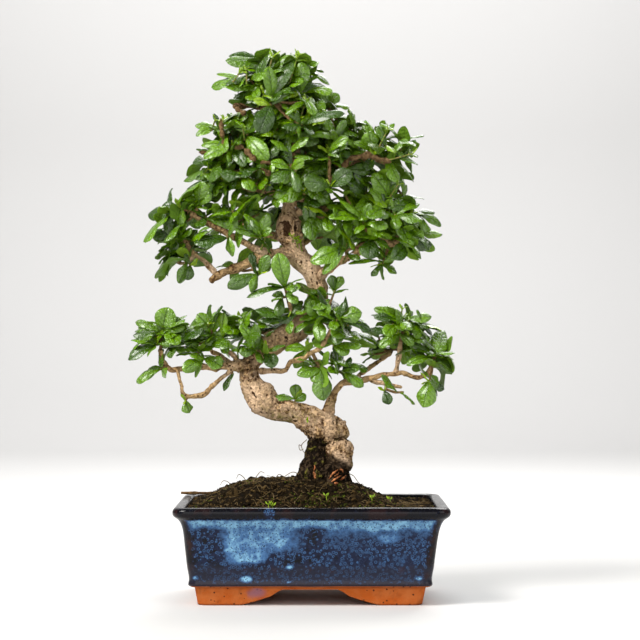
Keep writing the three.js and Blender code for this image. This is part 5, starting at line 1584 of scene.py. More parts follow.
@dataclass
class LeafShape:
    """How one leaf blade is built up from cross sections.

    Attributes:
        stations: where the sections stand, from root 0 to tip 1.
        across: places of a section's points, -1 and 1 at the edges: the upper side, then one point below.
        top_points: how many of them lie on the upper side.
        thickness: the blade's thickness at the midrib.
        stalk: half the stalk's width.
        groove: how steeply the halves rise from the midrib.
        droop: how far the edges roll down.
        wave: how far the edges ripple.
        twist: how far the blade may turn about its midrib, in radians.
    """

    stations: tuple[float, ...] = (0.0, 0.09, 0.22, 0.38, 0.54, 0.68, 0.80, 0.90, 0.96, 1.0)
    across: tuple[float, ...] = (-1.0, -0.5, 0.0, 0.5, 1.0, 0.0)
    top_points: int = 5
    thickness: float = 0.5
    stalk: float = 0.55
    groove: float = 0.42
    droop: float = 0.64
    wave: float = 0.18
    twist: float = 1.1

    def surface(self, blades: Blades) -> Surface:
        """The leaves as one surface.

        The midrib leaves the root along the direction and bends down evenly: after a share t it has gone
        L sin(kt)/k along and L (1 - cos(kt))/k down. The half width is W/2 (sin(pi t^1.5))^0.58, widest
        beyond the middle. Across, a section rises from the midrib like a groove's side and then rolls down at
        the edge. How deep the groove is and how far the blade twists differ from leaf to leaf, by the digits
        of its tone.

        Args:
            blades: the leaves.

        Returns:
            The surface, with upper sides, undersides and ends in its groups of faces.
        """
        t = np.array(self.stations)
        a = np.array(self.across)
        count, rings, sides = len(blades.length), len(t), len(a)
        bend = np.maximum(blades.arch[:, None] * t, 1e-6)
        rate = np.maximum(blades.arch, 1e-6)[:, None]
        reach = blades.length[:, None] * np.sin(bend) / rate
        drop = blades.length[:, None] * (1 - np.cos(bend)) / rate
        ahead, up = blades.direction[:, None], blades.up[:, None]
        rib = blades.root[:, None] + reach[..., None] * ahead - drop[..., None] * up
        normal = np.cos(bend)[..., None] * up + np.sin(bend)[..., None] * ahead
        side = np.cross(blades.direction, blades.up)[:, None]
        fold, turn = (np.modf(blades.tone * digits)[0][:, None] for digits in (7.31, 13.7))
        twist = (self.twist * (turn - 0.5) * t)[..., None]
        cos, sin = np.cos(twist), np.sin(twist)
        side, normal = side * cos + normal * sin, normal * cos - side * sin
        groove = self.groove * (0.4 + 1.3 * fold)[..., None]
        outline = np.sin(np.pi * t**1.5).clip(0) ** 0.58
        half = blades.width[:, None] / 2 * outline + self.stalk * (1 - t) ** 4 + 0.05
        phase = 2 * np.pi * blades.tone[:, None, None]
        ripple = self.wave * np.sin(10 * t[None, :, None] + phase + 1.5 * np.sign(a)) * a**2
        rise = half[..., None] * (groove * np.abs(a) - self.droop * a**2 + ripple)
        top = np.arange(sides) < self.top_points
        body = self.thickness * (1 - np.abs(a)) ** 0.5
        rise = rise + np.where(top, 0.5, -0.5) * body * (1 + 0.8 * (1 - t[:, None]) ** 3)
        points = rib[:, :, None] + (half[..., None] * a)[..., None] * side[:, :, None]
        points = points + rise[..., None] * normal[:, :, None]
        return self.skin(points, blades, count, rings, sides)

    def skin(self, points: Array, blades: Blades, count: int, rings: int, sides: int) -> Surface:
        """Faces, coordinates and numbers for the leaves' points.

        Args:
            points: the places, leaf by leaf.
            blades: the leaves.
            count: how many leaves there are.
            rings: rows of points along a leaf.
            sides: points in a row.

        Returns:
            The surface.
        """
        per_leaf = rings * sides
        strip = ring_faces(rings, sides).reshape(rings - 1, sides, 4)
        upper = strip[:, : self.top_points - 1].reshape(-1, 4)
        lower = strip[:, self.top_points - 1 :].reshape(-1, 4)
        groups = repeated([upper, lower, end_faces(rings, sides)], count, per_leaf)
        u = np.tile((np.array(self.across) + 1) / 2, rings)
        v = np.repeat(np.array(self.stations), sides)
        sharp = np.append(np.isin(self.across[: self.top_points], (-1, 0, 1)), False)
        edge = np.tile(np.where(sharp, np.arange(sides) + 1, 0), rings)
        return Surface(
            points=points.reshape(-1, 3), faces=groups, finish=[0, 1, 1],
            values={"age": np.repeat(blades.age, per_leaf), "tone": np.repeat(blades.tone, per_leaf)},
            uv=np.tile(np.stack([u, v], axis=1), (count, 1)), crease=np.tile(edge, count)
        )

    def fitted(self, blades: Blades, low: Array, high: Array) -> Blades:
        """Shrinks the leaves that leave a box, step by step, and drops those that still leave it.

        Args:
            blades: the leaves.
            low: the box's lower corner.
            high: the box's upper corner.

        Returns:
            The leaves that stay inside.
        """
        for _ in range(7):
            points = self.surface(blades).points.reshape(len(blades.length), -1, 3)
            out = ((points.min(axis=1) < low) | (points.max(axis=1) > high)).any(axis=1)
            if not out.any():
                return blades
            blades.length[out] *= 0.88
            blades.width[out] *= 0.92
        return blades.picked(~out)


@dataclass
class Shoot:
    """A twig's end with the rosette of leaves round it.

    Attributes:
        line: the twig's centreline with its radius.
        axis: the way that the rosette faces.
        turn: where its first leaf starts, in radians.
    """

    line: Array
    axis: Array
    turn: float


@dataclass(frozen=True)
class Cloud:
    """A rounded mass of small shoots that fills a pad behind and between its measured leaves.

    Attributes:
        middle: its centre.
        half: half its width, depth and height.
        shoots: how many shoots it holds.
        size: the size of their leaves against a measured shoot's.
        leaves: how many leaves each shoot has.
    """

    middle: Triple
    half: Triple
    shoots: int
    size: float = 1.26
    leaves: int = 5

    def places(self, draw: Draw) -> tuple[Array, Array]:
        """Evenly spread places in the mass and the directions from its middle.

        The directions follow a spiral on the sphere, each turned on by the golden angle. The distances grow
        with the cube root of a random number, so that the mass is filled evenly.

        Args:
            draw: random numbers.

        Returns:
            The places, and a unit direction for each.
        """
        order = np.arange(self.shoots) + 0.5
        up = 1 - 2 * order / self.shoots
        turn = order * GOLDEN_ANGLE + draw.uniform(0, 2 * np.pi)
        flat = np.sqrt(1 - up**2)
        way = np.stack([flat * np.cos(turn), flat * np.sin(turn), up], axis=1)
        away = draw.uniform(0.12, 1, self.shoots) ** (1 / 3)
        return np.array(self.middle) + way * away[:, None] * np.array(self.half), way


CLOUDS: dict[str, tuple[Cloud, ...]] = {
    "crown_top": (
        Cloud((-30, 0, 378), (25, 18, 18), 15), Cloud((-34, -2, 391), (20, 13, 7), 8),
        Cloud((-24, -2, 387), (9, 12, 6), 3), Cloud((-12, 2, 364), (18, 20, 18), 13),
        Cloud((22, 4, 341), (16, 18, 10), 8), Cloud((-12, 0, 350), (30, 28, 13), 14)
    ),
    "crown_right": (
        Cloud((58, 2, 335), (15, 16, 8), 5), Cloud((18, -4, 320), (20, 22, 13), 10),
        Cloud((40, 4, 304), (14, 16, 9), 5), Cloud((66, 0, 285), (12, 12, 7), 4),
        Cloud((40, -8, 286), (22, 16, 7), 5)
    ),
    "crown_left": (
        Cloud((-48, -2, 343), (22, 17, 12), 11), Cloud((-68, 0, 322), (15, 14, 13), 8),
        Cloud((-36, -4, 322), (20, 22, 13), 11), Cloud((-70, -2, 303), (16, 14, 7), 5),
        Cloud((-12, -8, 308), (18, 18, 12), 8)
    ),
    "crown_back": (Cloud((-4, 36, 330), (34, 18, 24), 15), Cloud((-10, 46, 278), (46, 14, 12), 12)),
    "middle_left": (
        Cloud((-94, -6, 284), (16, 12, 9), 6), Cloud((-94, -4, 260), (17, 12, 10), 6),
        Cloud((-54, -6, 286), (20, 12, 6), 6)
    ),
    "middle_right": (
        Cloud((52, -6, 266), (22, 15, 7), 5), Cloud((20, -10, 280), (15, 12, 8), 5),
        Cloud((74, -6, 268), (10, 10, 8), 4)
    ),
    "middle_front": (Cloud((-40, -6, 197), (14, 12, 5), 3), Cloud((4, -6, 213), (16, 12, 7), 5)),
    "lower_left": (
        Cloud((-112, -10, 195), (13, 12, 8), 5), Cloud((-88, -8, 191), (16, 14, 6), 4),
        Cloud((-64, -6, 198), (15, 13, 7), 5)
    ),
    "lower_right": (
        Cloud((70, -6, 202), (15, 13, 6), 6), Cloud((93, -8, 178), (8, 11, 10), 4),
        Cloud((24, 0, 198), (9, 9, 8), 3), Cloud((10, -2, 172), (12, 8, 5), 3)
    ),
    "lower_back": (Cloud((-30, 46, 196), (24, 14, 8), 7), Cloud((64, 38, 194), (16, 12, 6), 4))
}


@dataclass(frozen=True)
class Sprout:
    """A fresh tip: a thin light-green stem with lime leaves at its end.

    Attributes:
        foot, tip: the two ends of the stem.
        leaves: how many leaves it carries.
        size: the length of the longest leaf.
    """

    foot: Triple
    tip: Triple
    leaves: int
    size: float


SPROUTS: dict[str, tuple[Sprout, ...]] = {
    "crown_top": (
        Sprout((-31, -22, 391), (-29, -26, 399), 4, 11), Sprout((-15, -22, 385), (-10.5, -26, 399), 5, 11),
        Sprout((-10, -24, 348), (-4, -27, 367), 5, 9), Sprout((-14, -26, 350), (-12, -29, 354), 4, 13),
        Sprout((-6, -26, 349), (-2, -29, 353), 3, 12), Sprout((-38, -22, 366), (-35, -26, 371), 2, 13),
        Sprout((-56, -20, 384), (-53, -22, 388), 3, 8), Sprout((-48, -22, 384), (-48, -24, 390), 3, 6),
        Sprout((-50, -20, 342), (-50.7, -24, 347), 2, 7)
    ),
    "crown_right": (
        Sprout((12, -26, 315), (12.6, -28, 331), 5, 8), Sprout((50, -18, 334), (56, -20, 346), 4, 8),
        Sprout((56, -22, 323), (74, -22, 328), 3, 10), Sprout((44, -14, 322), (46, -17, 328), 3, 8),
        Sprout((60, -12, 300), (64, -15, 306), 3, 7)
    ),
    "crown_left": (
        Sprout((-66, -16, 348), (-65.5, -18, 354), 3, 7), Sprout((-73, -12, 350), (-71.4, -15, 354), 2, 8),
        Sprout((-80, -8, 314), (-77, -12, 318), 2, 8), Sprout((-12, -26, 314), (-9.8, -29, 318), 3, 8),
        Sprout((-36, -22, 300), (-33, -25, 305), 3, 7)
    ),
    "middle_left": (
        Sprout((-36, -14, 262), (-33.8, -17, 268), 3, 9), Sprout((-96, -8, 288), (-98, -10, 293), 2, 8)
    ),
    "middle_right": (
        Sprout((29, -16, 270), (31, -18, 276), 3, 8), Sprout((70, -12, 280), (74, -14, 285), 3, 7),
        Sprout((-11, -8, 262), (-12, -10, 266), 5, 5), Sprout((-8, -8, 261), (-8.5, -10, 264), 4, 5),
        Sprout((-14, -8, 264), (-15, -10, 268), 3, 5)
    ),
    "middle_front": (Sprout((25, -12, 252), (27.4, -14, 257), 3, 7),),
    "lower_left": (
        Sprout((-78, -12, 198), (-76, -14, 203), 3, 8), Sprout((-104, -10, 206), (-106, -12, 210), 3, 6)
    ),
    "lower_right": (
        Sprout((66, -12, 208), (67, -14, 214), 3, 8), Sprout((28, -14, 205), (30, -17, 210), 3, 8),
        Sprout((-4, -13, 132), (-3, -16.5, 132.5), 2, 5)
    )
}

# Blunt bits of old wood between the leaves: x, y, z of one end, then of the other, then the radius.
KNOBS: Rows = (
    (-55, -24, 361, -49, -27, 357, 2.3), (-26, -26, 364, -17, -28, 360, 1.7),
    (-67, -16, 352, -66, -18, 341, 2.2), (-65, -17, 338, -63, -19, 330, 2.4),
    (-82, -10, 330, -74, -13, 329, 1.9), (-48, -24, 330, -42, -26, 323, 3.0),
    (-14, -28, 327, -11, -30, 318, 2.4), (-36, -28, 318, -31, -30, 312, 2.2),
    (15, -28, 308, 26, -30, 321, 2.6), (29, -27, 324, 43, -28, 327, 2.6), (42, -27, 326, 57, -24, 322, 2.1),
    (-46, -18, 306, -38, -20, 302, 2.0)
)


def radial(axis: Array, side: Array, turn: float) -> Array:
    """The side direction, turned round the axis."""
    return side * math.cos(turn) + np.cross(axis, side) * math.sin(turn)


@dataclass
class Foliage:
    """Twigs and leaves of all pads.

    Attributes:
        skeleton: the centrelines of all limbs.
        shape: how a leaf blade is built.
        box_low, box_high: the corners of the box that no leaf may leave.
        twig_radii, fork_radii, filler_radii: the radius at foot, middle and tip of a main twig, of its
            forks, and of a twig in a cloud.
        sag: how far a twig sags, over its length.
        knot: how much its knots swell it.
        slimness: a leaf's width over its length.
    """

    skeleton: Skeleton
    shape: LeafShape
    box_low: Array
    box_high: Array
    twig_radii: Triple = (1.45, 1.15, 0.8)
    fork_radii: Triple = (1.05, 0.95, 0.75)
    filler_radii: Triple = (1.0, 0.85, 0.6)
    sag: float = 0.08
    knot: float = 0.45
    slimness: float = 0.46

    def shoot_line(self, start: Array, tip: Array, radii: Triple) -> Array:
        """A twig that sags a little on its way to the tip, with knots.

        Args:
            start: where it leaves the wood.
            tip: its end.
            radii: the radius at its foot, middle and tip.

        Returns:
            x, y, z and the radius at each of its points.
        """
        length = np.linalg.norm(tip - start)
        controls = np.array([start, start + 0.55 * (tip - start) - np.array([0, 0, self.sag * length]), tip])
        line = smooth_line(np.column_stack([controls, radii]), max(8, int(length / 1.3)))
        line[:, 3] *= 1 + self.knot * np.maximum(lattice_noise(line[:, :3], 3.4, 12), 0)
        line[1:-1, :3] += 0.45 * wander(line, 6.0, 41)[1:-1]
        return line

    def shoots(self, spray: list[list], draw: Draw) -> list[Shoot]:
        """The main twig from the wood to the first tip, and forks from its outer half to the others.

        Args:
            spray: its entry in SPRAYS.
            draw: random numbers.

        Returns:
            The shoots, the main one first.
        """
        made: list[Shoot] = []
        for tip, *_ in spray:
            end = np.array(tip, float)
            if made:
                main = made[0].line
                outer = main[int(len(main) * 0.55) : max(int(len(main) * 0.9), 1)]
                near = outer[np.argmin(np.linalg.norm(outer[:, :3] - end, axis=1)), :3]
                line = self.shoot_line(near, end, self.fork_radii)
            else:
                line = self.shoot_line(self.skeleton.nearest(end), end, self.twig_radii)
            heading = unit(line[-1, :3] - line[-3, :3]) * 0.7 + np.array([0, 0, 0.6])
            made.append(Shoot(line, unit(heading), draw.uniform(0, 2 * np.pi)))
        return made

    @staticmethod
    def posed(root: Array, tip: Array, width: float, facing: float, draw: Draw) -> Leaf:
        """A leaf from a root to a known tip whose face turns up or to the front.

        Args:
            root: the leaf's foot.
            tip: its tip.
            width: its width.
            facing: how far its face turns to the front, from 0 to 1.
            draw: random numbers.

        Returns:
            The leaf.
        """
        chord = unit(tip - root)
        face = square(np.array([0, -facing, 1 - 0.75 * facing]), chord)
        half = LEAF_ARCH / 2
        cos, sin = math.cos(half), math.sin(half)
        return Leaf(
            root, chord * cos + face * sin, face * cos - chord * sin,
            length=np.linalg.norm(tip - root) * half / sin, width=width, arch=LEAF_ARCH,
            age=draw.uniform(0.55, 1.0), tone=draw.uniform(0, 1)
        )

    def rosette(self, shoot: Shoot, order: int, count: int, draw: Draw, size: float) -> Leaf:
        """One leaf of a rosette, each turned on by the golden angle, the older ones lower and wider open.

        Args:
            shoot: the shoot that carries it.
            order: its number in the rosette.
            count: how many leaves the rosette has.
            draw: random numbers.
            size: its size against a measured shoot's leaf.

        Returns:
            The leaf.
        """
        old = 1 - order / max(1, count)
        turn = order * GOLDEN_ANGLE + shoot.turn
        opened = 0.55 + 0.8 * old + 0.4 * draw.uniform(-0.5, 0.5)
        length = size * (13 + 8 * old) * draw.uniform(0.8, 1.25)
        side = unit(np.cross([0, 0, 1], shoot.axis) + np.array([1e-4, 0, 0]))
        direction = shoot.axis * math.cos(opened) + radial(shoot.axis, side, turn) * math.sin(opened)
        back = min(len(shoot.line) - 1, 1 + int(0.8 + 2.4 * old))
        return Leaf(
            shoot.line[-back, :3], direction, square(shoot.axis, direction), length,
            width=length * (self.slimness + draw.uniform(-0.05, 0.05)),
            arch=LEAF_ARCH * draw.uniform(0.3, 1.4),
            age=np.clip(0.42 + 0.6 * old + draw.normal(0, 0.14), 0.2, 1.0), tone=draw.uniform(0, 1)
        )

    def fillers(self, cloud: Cloud, grown: list[Shoot], draw: Draw) -> list[Shoot]:
        """The shoots of a cloud, each on a twig from the nearest wood or twig, or a lower one if it's near.

        Args:
            cloud: the mass of shoots.
            grown: the pad's shoots so far.
            draw: random numbers.

        Returns:
            Shoots that lean out of the mass and towards the light.
        """
        wood = np.concatenate([self.skeleton.points[:, :3], *(shoot.line[:-2, :3] for shoot in grown)])
        made: list[Shoot] = []
        for end, way in zip(*cloud.places(draw)):
            cost = np.linalg.norm(wood - end, axis=1) + 0.6 * np.maximum(wood[:, 2] - end[2], 0)
            near = wood[np.argmin(cost)]
            outward = unit(np.array([end[0] + 10, end[1] * 0.9 - 2, 0.0]))
            axis = unit(0.5 * outward + 0.4 * way + draw.normal(0, 0.25, 3) + np.array([0, 0, 0.8]))
            line = self.shoot_line(near, end, self.filler_radii)
            made.append(Shoot(line, axis, draw.uniform(0, 2 * np.pi)))
        return made

    @staticmethod
    def young(shoot: Shoot, draw: Draw) -> list[Leaf]:
        """A pair of narrow lime leaves that stand up at a shoot's end.

        Args:
            shoot: the shoot that carries them.
            draw: random numbers.

        Returns:
            Both leaves.
        """
        pair = []
        axis = unit(shoot.axis + np.array([0, 0, 0.6]))
        side = unit(np.cross([0.3, 1, 0], axis))
        for k in range(2):
            turn = shoot.turn + 1 + math.pi * k
            direction = unit(axis + radial(axis, side, turn) * draw.uniform(0.25, 0.6))
            length = draw.uniform(6, 10)
            pair.append(
                Leaf(
                    shoot.line[-1, :3], direction, square(axis, direction), length,
                    width=length * draw.uniform(0.3, 0.4), arch=0.4, age=draw.uniform(0.0, 0.25),
                    tone=draw.uniform(0, 0.5)
                )
            )
        return pair

    @staticmethod
    def fresh(sprout: Sprout, draw: Draw) -> tuple[Surface, list[Leaf]]:
        """The stem of a sprout and its lime leaves, spread round the stem by the golden angle.

        Args:
            sprout: the sprout.
            draw: random numbers.

        Returns:
            The stem and the leaves.
        """
        foot, tip = np.array(sprout.foot, float), np.array(sprout.tip, float)
        axis = unit(tip - foot)
        line = smooth_line(np.array([[*(foot - 5 * axis), 0.8], [*foot, 0.65], [*tip, 0.5]]), 12)
        stem = tube(line, 6)
        green = np.ones(len(stem.points))
        stem.values = {"relief": green, "crust": 0 * green, "moss": green, "wet": 0 * green}
        side = unit(np.cross(axis, [0, 1, 0]))
        leaves = []
        for order in range(sprout.leaves):
            low = order / sprout.leaves
            turn = order * GOLDEN_ANGLE + draw.uniform(0, 0.6)
            opened = 0.35 + 0.7 * low + draw.uniform(-0.1, 0.1)
            direction = axis * math.cos(opened) + radial(axis, side, turn) * math.sin(opened)
            length = sprout.size * (0.6 + 0.4 * low) * draw.uniform(0.85, 1.15)
            leaves.append(
                Leaf(
                    tip - 0.25 * low * (tip - foot), direction, square(axis, direction), length,
                    width=length * draw.uniform(0.34, 0.48), arch=draw.uniform(0.3, 0.8),
                    age=0.05 + 0.28 * low + 0.012 * sprout.size, tone=draw.uniform(0, 0.5)
                )
            )
        return stem, leaves

    def knobs(self) -> Surface:
        """Short blunt bits of old wood between the crown's leaves, each on a twig from the nearest wood.

        Returns:
            The bits of wood with their twigs.
        """
        parts = []
        for *ends, radius in KNOBS:
            start, end = np.array(ends[:3], float), np.array(ends[3:], float)
            way, radius = 0.1 * (end - start), 0.75 * radius
            controls = [
                [*self.skeleton.nearest(start), 0.9], [*(start - way), 0.6 * radius], [*start, radius],
                [*((start + end) / 2), 0.8 * radius], [*end, radius], [*(end + way), 0.4 * radius]
            ]
            line = smooth_line(np.array(controls), 44)
            line[:, 3] *= 1 + 0.2 * lattice_noise(line[:, :3], 3.2, 23)
            parts.append(tube(line, 12))
        surface = joined(parts)
        outward = surface.normals()
        lumps = layered_noise(surface.points, 1.8, 24, 2)
        surface.points = surface.points + outward * (0.35 * lumps)[:, None]
        tone = np.clip(0.5 + 0.5 * lumps, 0, 1)
        surface.values = {
            "relief": tone, "crust": 0.5 + 0.5 * (1 - tone), "moss": 0 * tone, "wet": 0.25 * (1 - tone)
        }
        return surface

    def leaves(self, spray: list[list], shoots: list[Shoot], draw: Draw) -> list[Leaf]:
        """The known leaves of a spray, its rosettes and its young tips.

        Args:
            spray: its entry in SPRAYS.
            shoots: its shoots.
            draw: random numbers.

        Returns:
            The leaves.
        """
        found = []
        for (_, count, *known), shoot in zip(spray, shoots):
            for order, (x, y, z, width, facing) in enumerate(known):
                back = min(len(shoot.line) - 1, 1 + order // 2)
                tip = np.array([x, y, z], float)
                found.append(self.posed(shoot.line[-back, :3], tip, width, facing, draw))
            extra = count + (3 if known else 2)
            found += [self.rosette(shoot, order, extra, draw, 0.85) for order in range(extra)]
            if draw.uniform() < 0.4:
                found += self.young(shoot, draw)
        return found

    def build(self, palette: Palette) -> None:
        """Writes each pad's leaves and twigs as two pieces, and the bits of old wood as one more.

        Args:
            palette: the finishes.
        """
        for number, (pad, names) in enumerate(PADS.items()):
            draw = np.random.default_rng(PAD_SEED + number)
            leaves, grown = self.pad(pad, draw)
            stems = [self.twig(shoot) for shoot in grown]
            for sprout in SPROUTS.get(pad, ()):
                stem, tip = self.fresh(sprout, draw)
                stems.append(stem)
                leaves += tip
            blades = self.shape.fitted(Blades.gathered(leaves), self.box_low, self.box_high)
            replaced = tuple(f"spray_{name}" for name in names)
            finishes = [palette.leaf_top, palette.leaf_under]
            write_piece(f"leaves_{pad}", self.shape.surface(blades), finishes, replaced)
            log.info("%s: %d leaves, %d twigs", pad, len(blades.length), len(grown))
            write_piece(f"twigs_{pad}", joined(stems), [palette.twig])
        write_piece("knobby_wood", self.knobs(), [palette.twig])

    def pad(self, pad: str, draw: Draw) -> tuple[list[Leaf], list[Shoot]]:
        """The leaves and shoots of a pad: first those of its sprays, then those that fill its clouds.

        Args:
            pad: the pad's name.
            draw: random numbers.

        Returns:
            The leaves and the shoots.
        """
        leaves: list[Leaf] = []
        grown: list[Shoot] = []
        for name in PADS[pad]:
            shoots = self.shoots(SPRAYS[name], draw)
            leaves += self.leaves(SPRAYS[name], shoots, draw)
            grown += shoots
        for cloud in CLOUDS[pad]:
            fillers = self.fillers(cloud, grown, draw)
            for shoot in fillers:
                size = cloud.size * draw.uniform(0.72, 1.15)
                leaves += [self.rosette(shoot, k, cloud.leaves, draw, size) for k in range(cloud.leaves)]
            grown += fillers
        return leaves, grown

    @staticmethod
    def twig(shoot: Shoot) -> Surface:
        """A shoot's twig: brown with a little crust, green towards its tip.

        Args:
            shoot: the shoot.

        Returns:
            The twig, with the numbers that the bark reads.
        """
        stem = tube(shoot.line, 7)
        tone = np.clip(0.55 + 0.5 * lattice_noise(stem.points, 1.4, 77), 0, 1)
        fresh = 0.8 * step_up(stem.values["along"], 0.75, 1.0)
        stem.values = {"relief": tone, "crust": 1 - tone, "moss": fresh, "wet": 0 * tone}
        return stem


# Pot and soil


@dataclass
class Outline:
    """Rounded rectangles, all with the same number of points, so that they can be joined into walls.

    Attributes:
        half_width, half_depth: half the size of the rim.
        corner: the radius of its corners.
        narrowest: the least radius of a corner further in.
        long_points, short_points, corner_points: points along a long side, a short side and a corner.
    """

    half_width: float = 100.0
    half_depth: float = 75.0
    corner: float = 11.0
    narrowest: float = 7.0
    long_points: int = 116
    short_points: int = 86
    corner_points: int = 14

    def ring(self, inset: float) -> Array:
        """Points x, y of the outline moved inwards, anticlockwise from the right end of the back side.

        Args:
            inset: how far inwards.

        Returns:
            N by 2 numbers.
        """
        wide, deep = self.half_width - inset, self.half_depth - inset
        radius = max(self.narrowest, self.corner - inset * 0.4)
        sides = []
        corners = [(1, 1, 0.0), (-1, 1, 0.5), (-1, -1, 1.0), (1, -1, 1.5)]
        for k, (right, back, start) in enumerate(corners):
            angle = (start + 0.5 * np.linspace(0, 1, self.corner_points)) * np.pi
            middle = np.array([right * (wide - radius), back * (deep - radius)])
            arc = middle + radius * np.stack([np.cos(angle), np.sin(angle)], axis=1)
            after = corners[(k + 1) % 4]
            heading = (after[2] if k < 3 else 2.0) * np.pi
            end = np.array([after[0] * (wide - radius), after[1] * (deep - radius)])
            end = end + radius * np.array([math.cos(heading), math.sin(heading)])
            count = self.long_points if k % 2 == 0 else self.short_points
            share = np.linspace(0, 1, count + 2)[1:-1, None]
            sides += [arc, arc[-1] + share * (end - arc[-1])]
        return np.concatenate(sides)


def arch_height(place: Array, span: float, flat: float) -> Array:
    """How high the arch between the feet stands over a place along the wall.

    It is zero beyond the span and rises by a soft curve to its flat ceiling.

    Args:
        place: how far to the side of the middle.
        span: half its width at the table.
        flat: half the width of its flat ceiling.

    Returns:
        The heights.
    """
    shoulder = span - flat
    walls = [(0, 11.3), (flat, 11.3), (span - 0.88 * shoulder, 9.6), (span - 0.73 * shoulder, 6.5)]
    walls += [(span - 0.4 * shoulder, 3.3), (span, 0)]
    out, up = np.array(walls).T
    return np.interp(np.abs(place), out, up)


